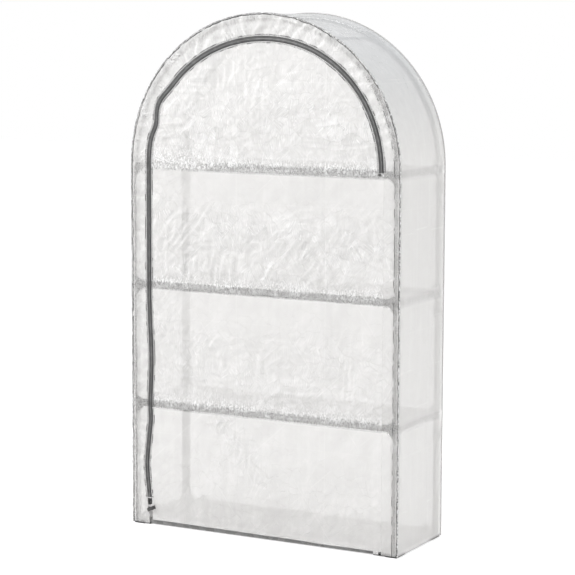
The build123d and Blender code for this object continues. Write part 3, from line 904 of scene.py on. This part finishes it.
door_y = (door_low.y + door_high.y) / 2
door_radius = -door_low.x
bm = upright_grid(-door_radius, door_radius, door_low.z, spring_z + door_radius, door_y, DOOR_CELL)
cut_to_arch(bm, door_radius, door_y)
right_edge = [
    e
    for e in bm.edges
    if e.is_boundary and all(v.co.x > door_radius - MM and v.co.z < spring_z + MM for v in e.verts)
]
grown = bmesh.ops.extrude_edge_only(bm, edges=right_edge)["geom"]
for vert in (g for g in grown if isinstance(g, bmesh.types.BMVert)):
    vert.co.x = door_high.x
bmesh.ops.recalc_face_normals(bm, faces=bm.faces)
print("door film", len(bm.faces), "faces, area", round(sum(f.calc_area() for f in bm.faces), 4))

# %% [markdown]
# The notch at the lower left keeps the film clear of the slider. The hem droops towards the hinge, where
# the film is loose. The waves fade out at the zipper and at the fold, where the film is held, and nowhere
# do they go more than a millimetre inwards, because the shelves are there.

# %% Shape the door film
NOTCH_X = -337 * MM
HEM_DROOP = 3 * MM
DOOR_WAVE = 2.6 * MM
CRUMPLE = 3.2 * MM
INWARD = -MM


def held_edges(x, z):
    """0 at the zipper and the hinge, and 1 in the free middle of the door."""
    travel, away = unroll(x, z)
    from_zip = step(zip_radius - away, 6 * MM, 40 * MM) if travel < arc_end else 1.0
    from_hinge = step(hinge_x - x, 2 * MM, 40 * MM)
    return min(from_zip, from_hinge)


def door_push(place):
    """How far the crumpled film stands out towards the front."""
    slow = 0.6 * DOOR_WAVE * wave(place, 0.16, 1.0)
    crumpled = CRUMPLE * crumple_height(place) * front_crinkle(place.x, place.z)
    return slow + crumpled * (1 - 0.6 * lip_pinch(place.z))


for vert in bm.verts:
    place = vert.co.copy()
    if place.z < zip_low and place.x < NOTCH_X:
        vert.co.x = NOTCH_X
    follow_zipper(vert, 60 * MM)
    low_part = 1 - step(place.z, door_low.z, 0.09)
    droop = HEM_DROOP * step(place.x, -0.30, 0.25) + 1.2 * MM * wave(place, 0.11, 5.0)
    vert.co.z -= low_part * droop
    held = held_edges(place.x, place.z)
    vert.co.y -= held * max(INWARD, door_push(place))
# The first value is painted light and shade from the door's waves: lighter facing the upper left, darker turned
# away.
paint(
    bm,
    relief=lambda p: slope(door_push, Vector((p.x, door_y, p.z))),
    crinkle=lambda p: front_crinkle(p.x, p.z),
    cloud=lambda p: crowding(p, 31.0),
    pinch=lambda p: max(lip_pinch(p.z) * (0.5 + 0.4 * crowding(p, 41.0)), 0.8 * top_bunch(p.x, p.z)),
    contact=lambda p: front_contact(p.x, p.z),
    hem=hem_above(door_low.z),
)
door_film = make_piece("door_film", bm, "door", clear_film, ["door_panel"])
thicken(door_film, FILM)

# %% [markdown]
# ### Border film
# The border is one strip that runs up the left of the door, over the arch and down the right. It is made
# flat, with X along the strip and Y across it. Its UV map is taken while it is flat, and then each point is
# carried to its place on the arch.

# %% Strip helpers


def flat_strip(length, width, cell_long, cell_wide, left=0.0):
    """A flat strip from X = left, centred on Y = 0, facing +Z."""
    bm = bmesh.new()
    shape = Matrix.Translation((left + length / 2, 0, 0)) @ Matrix.Diagonal((length, width, 1, 1))
    along, across = round(length / cell_long), max(1, round(width / cell_wide))
    bmesh.ops.create_grid(bm, x_segments=along, y_segments=across, size=0.5, matrix=shape)
    return bm


def mark_run(bm):
    """Keeps each point's place on the flat strip as a UV map in metres."""
    run = bm.loops.layers.uv.new("run")
    for face in bm.faces:
        for loop in face.loops:
            loop[run].uv = (loop.vert.co.x, loop.vert.co.y)


# %% The border's looks
border_inner = zip_radius + (zip_radius - door_radius)
border_width = film_radius - border_inner
border_length = 2 * (spring_z - hem_z) + pi * zip_radius
BORDER_WAVE = 2.8 * MM
FAN_PITCH = 6 * MM


def border_crinkle(place):
    """Beside the hinge the border is as smooth as the door. Up the left and over the arch it is crumpled."""
    smooth_side = step(place.x, 0.30, 0.34) * (1 - step(place.z, 0.85, 1.05))
    crumpled = 0.25 + 0.25 * crowding(place, 55.0)
    return crumpled + (0.7 * front_crinkle(place.x, place.z) - crumpled) * smooth_side


def border_pinch(place):
    """Pleats gather at the lips, down the left leg and in patches over the arch."""
    arch = step(place.z, 0.9, 1.05) * (0.2 + 0.75 * step(crowding(place, 57.0), 0.5, 0.95))
    arch *= 0.4 + 0.6 * step(-place.x, -0.1, 0.2)
    leg = 0.5 * front_contact(place.x, place.z) * step(-place.x, 0.0, 0.3) * (1 - step(place.z, 0.9, 1.0))
    return max(0.5 * lip_pinch(place.z), arch, leg)


def border_push(place):
    """Slow waves, small folds that fan out from the zipper, most of them over the arch, and a few creases."""
    travel, away = unroll(place.x, place.z)
    share = (away - border_inner) / border_width
    fan = sin(travel / FAN_PITCH - 3.0 * share + 4 * wave(place, 0.09, 3.0))
    fan *= 0.35 + 0.65 * step(place.z, 0.8, 1.0)
    crease = creased(place, 0.016, 0.05, 0.7, 6.0)
    return BORDER_WAVE * (0.45 * wave(place, 0.07, 4.0) + 0.30 * fan + 0.25 * crease)


def beside_hinge(place):
    """1 on the straight strip between the door's fold and the right-hand leg, where the film lies flat."""
    return step(place.x, 0.33, 0.345) * (1 - step(place.z, spring_z + 0.03, spring_z + 0.07))


# Painted light and shade on the border, weaker and almost gone beside the hinge.
def border_relief(place):
    strength = 0.75 * (1 - 0.85 * beside_hinge(place))
    return 0.5 + strength * (slope(border_push, Vector((place.x, 0, place.z))) - 0.5)


# %% Border film
bm = flat_strip(border_length, border_width, 5 * MM, 4.5 * MM, hem_z)
mark_run(bm)
for vert in bm.verts:
    travel, across = vert.co.x, vert.co.y
    share = across / border_width + 0.5
    centre, away = outward(travel)
    inner = border_inner + sway(travel)
    if travel > arc_end:
        inner += (hinge_x - border_inner) * step(travel, arc_end, arc_end + 20 * MM)
    distance = inner + (film_radius + rim(travel, 1.0) - inner) * share
    place = centre + away * distance
    held = step(share, 0.0, 0.25) * step(1 - share, 0.0, 0.12)
    held *= 1 - 0.85 * beside_hinge(place)
    vert.co = place + Vector((0, door_y - held * max(INWARD, border_push(place)), 0))
paint(
    bm,
    relief=border_relief,
    crinkle=border_crinkle,
    cloud=lambda p: crowding(p, 51.0),
    pinch=border_pinch,
    contact=lambda p: front_contact(p.x, p.z),
    hem=hem_above(hem_z),
)
border_film = make_piece("border_film", bm, "cover", border_clear_film, ["front_panel"])
thicken(border_film, FILM)

# %% [markdown]
# ### Sides and roof
# On the real cover one long strip makes both sides and the roof. It is carried round in the same way as the
# border, with its width lying front to back. It sinks a little between the two arches, and short pleats
# stand at its seams over the arch, where a straight strip has to turn.

# %% Side and roof film
loop_radius = (film_radius + roof_high.z - spring_z) / 2
loop_depth = roof_high.y - roof_low.y
loop_length = 2 * (spring_z - hem_z) + pi * loop_radius
bm = flat_strip(loop_length, loop_depth, 7 * MM, 7 * MM, hem_z)


def round_outline(travel, radius):
    """Centre and direction for a strip of that radius that starts at the floor on the left."""
    stretch = pi * (radius - zip_radius)
    if travel > spring_z + pi * radius:
        return outward(travel - stretch)
    if travel > spring_z:
        return outward(spring_z + (travel - spring_z) * zip_radius / radius)
    return outward(travel)


SIDE_WAVE = 2.4 * MM
PLEAT_PITCH = 7 * MM
for vert in bm.verts:
    travel, across = vert.co.x, vert.co.y
    centre, away = round_outline(travel, loop_radius)
    place = centre + away * loop_radius + Vector((0, across, 0))
    held = step(loop_depth / 2 - abs(across), 0.0, 0.035)
    seam = step(abs(across), 0.07, loop_depth / 2) * step(place.z, 0.95, 1.1)
    pleats = 1.4 * seam * (1 - seam) * sin(travel / PLEAT_PITCH + 3 * wave(place, 0.05, 7.0))
    push = 0.6 * wave(Vector((place.x, place.y, place.z * 0.5)), 0.12, 8.0) + pleats
    sink = -0.5 * step(place.z, spring_z, spring_z + 0.2) * (1 - (2 * across / loop_depth) ** 2)
    back_share = across / loop_depth + 0.5
    seam_wander = rim(travel, 1.0) * (1 - back_share) ** 2 + 0.4 * rim(travel, 2.0) * back_share**2
    vert.co = place + away * (seam_wander + SIDE_WAVE * held * max(-0.55, push + sink))


def side_contact(place):
    """The side film is tight at its hem, and lies only lightly on the lips, the back legs and the arch."""
    corner = step(place.y, film_half_depth - 14 * MM, film_half_depth - 6 * MM)
    on_hem = 0.8 * (1 - step(place.z, 5 * MM, 8 * MM))
    return max(on_hem, 0.3 * near_lip(place.z, 13 * MM), 0.3 * corner * crowding(place * 0.5, 65.0))


paint(
    bm,
    crinkle=lambda p: 0.05 + 0.35 * step(-p.y, 0.115, 0.133) * (0.3 + 0.7 * step(p.z, 0.9, 1.1)),
    cloud=lambda p: crowding(p, 61.0),
    pinch=lambda p: 0.4 * step(-p.y, 0.124, 0.133) * step(p.z, 0.9, 1.1),
    contact=side_contact,
    hem=hem_above(hem_z),
)
loop_panels = ["left_side_panel", "right_side_panel", "roof_panel"]
loop_film = make_piece("side_and_roof_film", bm, "cover", side_film, loop_panels)
thicken(loop_film, FILM)

# %% [markdown]
# ### Back film
# The back is one plain sheet, cut to the outer arch. Nothing crosses it, so it hangs in slow waves.

# %% Back film
BACK_WAVE = 2.4 * MM
SEAM_REACH = 30 * MM
back_y = (back_low.y + back_high.y) / 2
bm = upright_grid(-film_radius, film_radius, hem_z, spring_z + film_radius, back_y, 8 * MM)
cut_to_arch(bm, film_radius, back_y)
bmesh.ops.recalc_face_normals(bm, faces=bm.faces)
if sum(f.normal.y for f in bm.faces) < 0:
    bmesh.ops.reverse_faces(bm, faces=bm.faces)
for vert in bm.verts:
    place = vert.co.copy()
    travel, away = unroll(place.x, place.z)
    held = step(film_radius - away, 0.0, 0.04)
    push = 0.7 * wave(place, 0.2, 11.0) + 0.35 * crumple_height(place) * (0.3 + 0.7 * step(place.z, 0.9, 1.2))
    vert.co.y += BACK_WAVE * held * max(-0.4, push)
    at_seam = step(away, film_radius - SEAM_REACH, film_radius)
    vert.co += outward(travel)[1] * 0.4 * rim(travel, 2.0) * at_seam
paint(
    bm,
    crinkle=lambda p: 0.12 + 0.15 * step(p.z, 0.95, 1.2),
    cloud=lambda p: crowding(p, 71.0),
    pinch=lambda p: 0.15 * lip_pinch(p.z),
    contact=lambda p: front_contact(p.x, p.z),
    hem=hem_above(hem_z),
)
back_film = make_piece("back_film", bm, "cover", clear_film, ["back_panel"])
thicken(back_film, FILM)

# %% [markdown]
# ### Edge piping
# A thin cord is welded into the seam between the front or back film and the side film. A small circle is
# extruded up one side, spun over the arch and extruded down the other side.

# %% Edge piping
PIPE_SIDES = 10
UPRIGHT_STEP = 12 * MM
ARCH_STEPS = 110


def run_round_arch(bm, edges, centre_y, low):
    """Extrudes a profile at the lower left up to the spring line, over the arch and down to low again."""
    uprights = round((spring_z - low) / UPRIGHT_STEP)

    def lengthen(ends, rise):
        made = bmesh.ops.extrude_edge_only(bm, edges=ends)["geom"]
        verts = [g for g in made if isinstance(g, bmesh.types.BMVert)]
        bmesh.ops.translate(bm, verts=verts, vec=(0, 0, rise))
        return [g for g in made if isinstance(g, bmesh.types.BMEdge) and all(v in verts for v in g.verts)]

    for _ in range(uprights):
        edges = lengthen(edges, (spring_z - low) / uprights)
    centre = (0, centre_y, spring_z)
    turned = bmesh.ops.spin(
        bm, geom=edges, cent=centre, axis=(0, 1, 0), angle=pi, steps=ARCH_STEPS, use_merge=False
    )
    edges = [g for g in turned["geom_last"] if isinstance(g, bmesh.types.BMEdge)]
    for _ in range(uprights):
        edges = lengthen(edges, -(spring_z - low) / uprights)


for row in ("front", "back"):
    pipe_low, pipe_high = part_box(f"{row}_piping")
    pipe_radius = (pipe_high.y - pipe_low.y) / 2
    pipe_y = (pipe_low.y + pipe_high.y) / 2
    bm = bmesh.new()
    start = Matrix.Translation((pipe_low.x + pipe_radius, pipe_y, pipe_low.z))
    bmesh.ops.create_circle(bm, cap_ends=False, segments=PIPE_SIDES, radius=pipe_radius, matrix=start)
    run_round_arch(bm, bm.edges[:], pipe_y, pipe_low.z)
    for vert in bm.verts:
        travel = unroll(vert.co.x, vert.co.z)[0]
        vert.co += outward(travel)[1] * (rim(travel, 1.0) if row == "front" else 0.4 * rim(travel, 2.0))
    bmesh.ops.remove_doubles(bm, verts=bm.verts, dist=1e-6)
    bmesh.ops.holes_fill(bm, edges=bm.edges, sides=PIPE_SIDES)
    bmesh.ops.recalc_face_normals(bm, faces=bm.faces)
    # The front cord's painted values give it a painted highlight line along its length. The back cord's stay
    # plain.
    bright = 0.6 if row == "front" else 0.0
    paint(bm, crinkle=lambda p: bright, cloud=lambda p: bright, pinch=lambda p: bright)
    pipe_film = piping_film if row == "front" else back_piping_film
    make_piece(f"{row}_edge_piping", bm, "cover", pipe_film, [f"{row}_piping"])

# %% [markdown]
# ## Zipper
# The tapes are strips laid along the zipper's line. The teeth are two rows of nylon coil, so one small loop
# is modelled and an Array modifier repeats it along a straight line. Then the row is bent along the zipper
# in the same way as the tapes. The two rows are half a pitch apart, as coils that mesh are.

# %% Tapes


def lay_on_zipper(bm):
    """Carries a strip to the zipper: X runs along it, Y away from the arch's middle and Z outwards."""
    for vert in bm.verts:
        travel, across, rise = vert.co
        centre, away = outward(travel)
        vert.co = centre + away * (zip_radius + sway(travel) + across) + Vector((0, front_y - rise, 0))


zip_length = arc_end - zip_low
tape_gap = 0.7 * MM
tape_width = tape_high.x - zip_radius - tape_gap
TAPE = 0.5 * MM
TAPE_LIFT = 0.05 * MM
# Each side of the zipper rides on the body of the same name. The door's side is the inner one.
ZIP_SIDES = (("door", -1), ("cover", 1))
for side, sign in ZIP_SIDES:
    bm = flat_strip(zip_length, tape_width, 5 * MM, 1.9 * MM, zip_low)
    bmesh.ops.translate(bm, verts=bm.verts, vec=(0, sign * (tape_gap + tape_width / 2), TAPE / 2 + TAPE_LIFT))
    mark_run(bm)
    lay_on_zipper(bm)
    tape = make_piece(f"{side}_tape", bm, side, zip_tape, [f"{side}_zip_tape"])
    thicken(tape, TAPE)

# %% Rows of small parts


def straight_row(name, bm, count, pitch):
    """Repeats a small mesh along X with an Array modifier and gives the row back as a bmesh."""
    mesh = bpy.data.meshes.new(name)
    bm.to_mesh(mesh)
    bm.free()
    seed = bpy.data.objects.new(name, mesh)
    bpy.context.scene.collection.objects.link(seed)
    array = seed.modifiers.new("row", "ARRAY")
    array.count = count
    array.use_relative_offset = False
    array.use_constant_offset = True
    array.constant_offset_displace = (pitch, 0, 0)
    shown = seed.evaluated_get(bpy.context.evaluated_depsgraph_get())
    row = bmesh.new()
    row.from_mesh(shown.to_mesh())
    shown.to_mesh_clear()
    bpy.data.objects.remove(seed)
    bpy.data.meshes.remove(mesh)
    return row


# %% Coils
PITCH = 2.2 * MM
COIL_LONG = 0.62 * PITCH
COIL_WIDE = 4.4 * MM
COIL_HIGH = 1.9 * MM
COIL_GAP = 0.35 * MM


def coil_loop():
    """One turn of the coil: a rounded block, narrow along the zipper, with its ends drawn down."""
    bm = bmesh.new()
    size = Matrix.Diagonal((COIL_LONG, COIL_WIDE, COIL_HIGH, 1))
    bmesh.ops.create_cube(bm, size=1.0, matrix=size)
    across = [e for e in bm.edges if abs(e.verts[0].co.y - e.verts[1].co.y) > COIL_WIDE / 2]
    bmesh.ops.subdivide_edges(bm, edges=across, cuts=3, use_grid_fill=True)
    for vert in bm.verts:
        share = vert.co.y / (COIL_WIDE / 2)
        vert.co.z *= 1 - 0.45 * share * share
        vert.co.x *= 1 - 0.25 * share * share
    return bm


for side, sign in ZIP_SIDES:
    row = straight_row("coil", coil_loop(), int(zip_length / PITCH), PITCH)
    start = zip_low + PITCH * (0.5 if side == "door" else 1.0)
    shift = (start, sign * (COIL_WIDE / 2 + COIL_GAP), TAPE + COIL_HIGH / 2)
    bmesh.ops.translate(row, verts=row.verts, vec=shift)
    lay_on_zipper(row)
    make_piece(f"{side}_coil", row, side, coil_nylon, [f"{side}_zip_teeth"], smooth=False)

# %% [markdown]
# ### Stitches
# A row of stitches on each side holds the film to the tape. Each stitch is a tiny rounded bar, tilted a
# little as a lock stitch is, and half sunk in the film.

# %% Stitches
STITCH = 2.6 * MM
STITCH_PITCH = 5.2 * MM
STITCH_THICK = 1.1 * MM
STITCH_LINE = 9.4 * MM
STITCH_LEAN = radians(4)


def stitch():
    bm = bmesh.new()
    size = Matrix.Diagonal((STITCH, STITCH_THICK, STITCH_THICK, 1))
    bmesh.ops.create_cube(bm, size=1.0, matrix=Matrix.Rotation(STITCH_LEAN, 4, "Z") @ size)
    bmesh.ops.bevel(
        bm, geom=bm.edges[:], offset=STITCH_THICK * 0.3, segments=1, profile=0.5, affect="EDGES", material=-1
    )
    return bm


for side, sign in ZIP_SIDES:
    row = straight_row("stitches", stitch(), int(zip_length / STITCH_PITCH), STITCH_PITCH)
    bmesh.ops.translate(row, verts=row.verts, vec=(zip_low + STITCH, sign * STITCH_LINE, TAPE + 0.1 * MM))
    lay_on_zipper(row)
    make_piece(f"{side}_stitches", row, side, thread_grey)

# %% [markdown]
# ### Slider, link and pull tab
# The slider is a cast body with rounded shoulders. A bent wire link hangs from its crown, and a flat tab
# swings on the link's lower end. Each keeps to its CAD solid's place, so it turns about the right pin.

# %% Slider


def bevelled_box(bm, low, high, bevel, segments=3):
    """A box between two corners with all of its edges rounded."""
    size = Vector(high) - Vector(low)
    shape = Matrix.Translation((Vector(high) + Vector(low)) / 2) @ Matrix.Diagonal((*size, 1))
    made = bmesh.ops.create_cube(bm, size=1.0, matrix=shape)
    edges = list({e for v in made["verts"] for e in v.link_edges})
    bmesh.ops.bevel(
        bm,
        geom=edges,
        offset=bevel,
        segments=segments,
        profile=0.5,
        affect="EDGES",
        material=-1,
        clamp_overlap=True,
    )


def upright_box(bm, half_width, y_span, z_span, bevel, segments=3):
    """A bevelled box that is centred on the zipper's straight part."""
    low = (middle - half_width, y_span[0], z_span[0])
    high = (middle + half_width, y_span[1], z_span[1])
    bevelled_box(bm, low, high, bevel, segments)


middle = -zip_radius
link_low, link_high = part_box("pull_link")
plate_front = slider_low.y + 3.6 * MM
plate_back = plate_front + 1.7 * MM
back_front = slider_high.y - 1.2 * MM
FOOT_WIDTH = 0.72  # the front plate's width at its lower end over its width at the shoulders
WEB_HALF = 0.2 * MM

bm = bmesh.new()
plate_high = (slider_high.x, plate_back, slider_high.z)
bevelled_box(bm, (slider_low.x, plate_front, slider_low.z), plate_high, 0.7 * MM)
for vert in bm.verts:
    rise = (vert.co.z - slider_low.z) / (slider_high.z - slider_low.z)
    vert.co.x = middle + (vert.co.x - middle) * (FOOT_WIDTH + (1 - FOOT_WIDTH) * step(rise, 0.0, 0.65))
back_plate = (slider_low.z + 0.5 * MM, slider_high.z - 0.5 * MM)
upright_box(bm, 4.6 * MM, (back_front, slider_high.y), back_plate, 0.4 * MM)
web = (slider_low.z, slider_low.z + 6 * MM)
upright_box(bm, WEB_HALF, (plate_back - 0.3 * MM, slider_high.y), web, 0.1 * MM, 1)

# The crown is a bar that stands off the front plate on two posts, so that the link can pass behind it.
crown_z = link_high.z - 1.4 * MM
crown_low, crown_high = crown_z - 6 * MM, crown_z + 6 * MM
posts = (slider_low.y + 0.6 * MM, plate_front + 0.3 * MM)
for y_span, z_span in (
    ((slider_low.y, slider_low.y + 1.2 * MM), (crown_low, crown_high)),
    (posts, (crown_low, crown_low + 2 * MM)),
    (posts, (crown_high - 2 * MM, crown_high)),
):
    upright_box(bm, 1.2 * MM, y_span, z_span, 0.35 * MM, 2)
make_piece("slider", bm, "zip_slider", slider_metal, ["zip_slider_body"])

# %% Wire link
WIRE = 0.6 * MM
LINK_TOP_HALF, LINK_FOOT_HALF = 3.3 * MM, 1.6 * MM
link_y = (link_low.y + link_high.y) / 2
top_z = link_high.z - 0.7 * MM
foot_z = link_low.z + 1.0 * MM
corners = [
    Vector((middle - LINK_TOP_HALF, link_y, top_z)),
    Vector((middle + LINK_TOP_HALF, link_y, top_z)),
    Vector((middle + LINK_FOOT_HALF, link_y, foot_z)),
    Vector((middle - LINK_FOOT_HALF, link_y, foot_z)),
]
bm = bmesh.new()
for first, second in zip(corners, corners[1:] + corners[:1]):
    along = second - first
    lie = Matrix.Translation((first + second) / 2) @ along.to_track_quat("Z", "Y").to_matrix().to_4x4()
    bmesh.ops.create_cone(
        bm, cap_ends=True, segments=10, radius1=WIRE, radius2=WIRE, depth=along.length, matrix=lie
    )
    bmesh.ops.create_uvsphere(bm, u_segments=10, v_segments=8, radius=WIRE, matrix=Matrix.Translation(first))
make_piece("wire_link", bm, "zip_link", slider_metal, ["pull_link"])

# %% Pull tab
tab_low, tab_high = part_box("pull_tab")
rivet_low, rivet_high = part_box("pull_rivet")
rivet_z = (rivet_low.z + rivet_high.z) / 2
TAB_ANGLE = radians(25)
TAB = Vector((28, 1.5, 10)) * MM
TAB_RIM = 1.3 * MM
TAB_SUNK = 0.3 * MM
bm = bmesh.new()
bevelled_box(bm, -TAB / 2, TAB / 2, 0.6 * MM)
faces = [f for f in bm.faces if f.normal.y < -0.99 and f.calc_area() > 100 * MM * MM]
bmesh.ops.inset_region(bm, faces=faces, thickness=TAB_RIM, depth=0.0)
bmesh.ops.inset_region(bm, faces=faces, thickness=TAB_SUNK, depth=-TAB_SUNK)
bmesh.ops.translate(bm, verts=bm.verts, vec=(TAB.x / 2 - TAB.z / 2, 0, 0))
pin = Matrix.Translation((middle, (tab_low.y + tab_high.y) / 2, rivet_z))
bmesh.ops.transform(bm, verts=bm.verts, matrix=pin @ Matrix.Rotation(-TAB_ANGLE, 4, "Y"))
make_piece("tab", bm, "zip_tab", tab_plastic, ["pull_tab"])

# %% [markdown]
# ## Hem straps
# Four short straps of the same film are sewn inside the hem and hook in under the bottom shelf. Each is a
# strip that comes down, turns under the lip and runs inwards.

# %% Hem straps
STRAP_TURN = 2.5 * MM
for strap in ("front_left", "front_right", "back_left", "back_right"):
    low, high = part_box(f"{strap}_strap")
    facing = -1 if "front" in strap else 1
    drop, tail = high.z - low.z, high.y - low.y
    down = drop - STRAP_TURN
    bend = STRAP_TURN * pi / 2
    length = drop + tail
    bm = flat_strip(length, high.x - low.x, 1.2 * MM, 2.5 * MM)
    outer = low.y if facing < 0 else high.y
    for vert in bm.verts:
        travel, across = vert.co.x, vert.co.y
        if travel < down:
            wobble = 0.35 * MM * wave(Vector((travel * 2, across, facing)), 0.012, 9.0)
            y, z = 0.5 * MM + wobble, high.z - travel
        elif travel < down + bend:
            turn = (travel - down) / STRAP_TURN
            y, z = 0.4 * MM + STRAP_TURN * (1 - cos(turn)), low.z + STRAP_TURN * (1 - sin(turn))
        else:
            y, z = 0.4 * MM + STRAP_TURN + travel - down - bend, low.z + 0.3 * MM
        vert.co = Vector(((low.x + high.x) / 2 - facing * across, outer - facing * y, z))
    bmesh.ops.recalc_face_normals(bm, faces=bm.faces)
    paint(bm, crinkle=lambda p: 0.7, cloud=lambda p: 0.8, pinch=lambda p: 0.4)
    piece = make_piece(f"{strap}_hem_strap", bm, "cover", milky_film, [f"{strap}_strap"])
    thicken(piece, FILM)

# %% [markdown]
# ## Studio
# The object stands on a pale floor under large soft lights. The camera stands in front of it and to its
# right, a little above, with a long lens.

# %% Floor
bm = bmesh.new()
bmesh.ops.create_grid(bm, x_segments=1, y_segments=1, size=14.0)
floor_mesh = bpy.data.meshes.new("floor")
bm.to_mesh(floor_mesh)
bm.free()
floor = bpy.data.objects.new("floor", floor_mesh)
bpy.context.scene.collection.objects.link(floor)
WHITE = (1, 1, 1, 1)
floor_looks = {"Roughness": 0.9, "Base_Color": grey(0.85), "Emission_Color": WHITE, "Emission_Strength": 0.45}
floor_paint = new_material("floor paint", **floor_looks)
floor.visible_glossy = False
floor_mesh.materials.append(floor_paint.material)

# %% [markdown]
# The camera sees a plain white room. Steel and film reflect another one, which is bright above and behind
# and dim in front, because a mirror-like surface needs something darker to reflect before its shape can be
# read.

# %% Room
world = bpy.data.worlds.new("studio")
bpy.context.scene.world = world
world.use_nodes = True
room = Graph(world.node_tree)
reflected = world.node_tree.nodes["Background"]
DIM_FRONT, BRIGHT_BACK, BRIGHTER_TOP = 0.14, 0.85, 0.20
direction = room.split(room.node("ShaderNodeTexCoord").outputs["Generated"])
behind = room.spread(direction["Y"], -0.7, 0.6, DIM_FRONT, BRIGHT_BACK)
above = room.spread(direction["Z"], 0.1, 0.9, 0.0, BRIGHTER_TOP)
room.feed(reflected.inputs["Strength"], room.plus(behind, above))
backdrop = room.node("ShaderNodeBackground", {"Color": WHITE, "Strength": 1.0})
seen = room.node("ShaderNodeLightPath").outputs["Is Camera Ray"]
both = room.node("ShaderNodeMixShader", {"Fac": seen})
room.feed(both.inputs[1], reflected.outputs[0])
room.feed(both.inputs[2], backdrop.outputs[0])
room.feed(world.node_tree.nodes["World Output"].inputs["Surface"], both.outputs[0])
reflected.inputs["Color"].default_value = WHITE
bpy.context.scene.view_settings.view_transform = "Standard"

# %% [markdown]
# The key light stands high at the front left, so that the crumples are lit from there. Two weaker ones fill
# the sides, and one hangs over the roof.

# %% Lights


def softbox(name, place, target, size, power):
    light = bpy.data.lights.new(name, "AREA")
    light.shape = "RECTANGLE"
    light.size, light.size_y = size
    light.energy = power
    lamp = bpy.data.objects.new(name, light)
    bpy.context.scene.collection.objects.link(lamp)
    lamp.location = place
    lamp.rotation_euler = (Vector(target) - Vector(place)).to_track_quat("-Z", "Y").to_euler()


middle_z = cad_box[1].z / 2
softbox("key", (-1.2, -2.6, 3.2), (0, 0, 0.9), (1.6, 1.0), 80)
softbox("left", (-3.2, -0.8, 1.6), (0, 0, middle_z), (1.0, 2.2), 25)
softbox("right", (3.4, -1.2, 1.4), (0, 0, middle_z), (1.0, 2.2), 30)
softbox("top", (0.2, 0.4, 3.6), (0, 0, middle_z), (2.0, 1.6), 26)

# %% Camera
HEADING = radians(28.526)
TILT = radians(-6.502)
ROLL = radians(0.19)
camera = bpy.data.cameras.new("camera")
camera.lens = 130.6
camera.shift_y = -0.06
view = bpy.data.objects.new("camera", camera)
bpy.context.scene.collection.objects.link(view)
bpy.context.scene.camera = view
view.location = (2.6345, -4.8387, 1.3780)
view.rotation_mode = "XYZ"
aim = Matrix.Rotation(HEADING, 4, "Z") @ Matrix.Rotation(pi / 2 + TILT, 4, "X")
view.rotation_euler = (aim @ Matrix.Rotation(ROLL, 4, "Z")).to_euler()
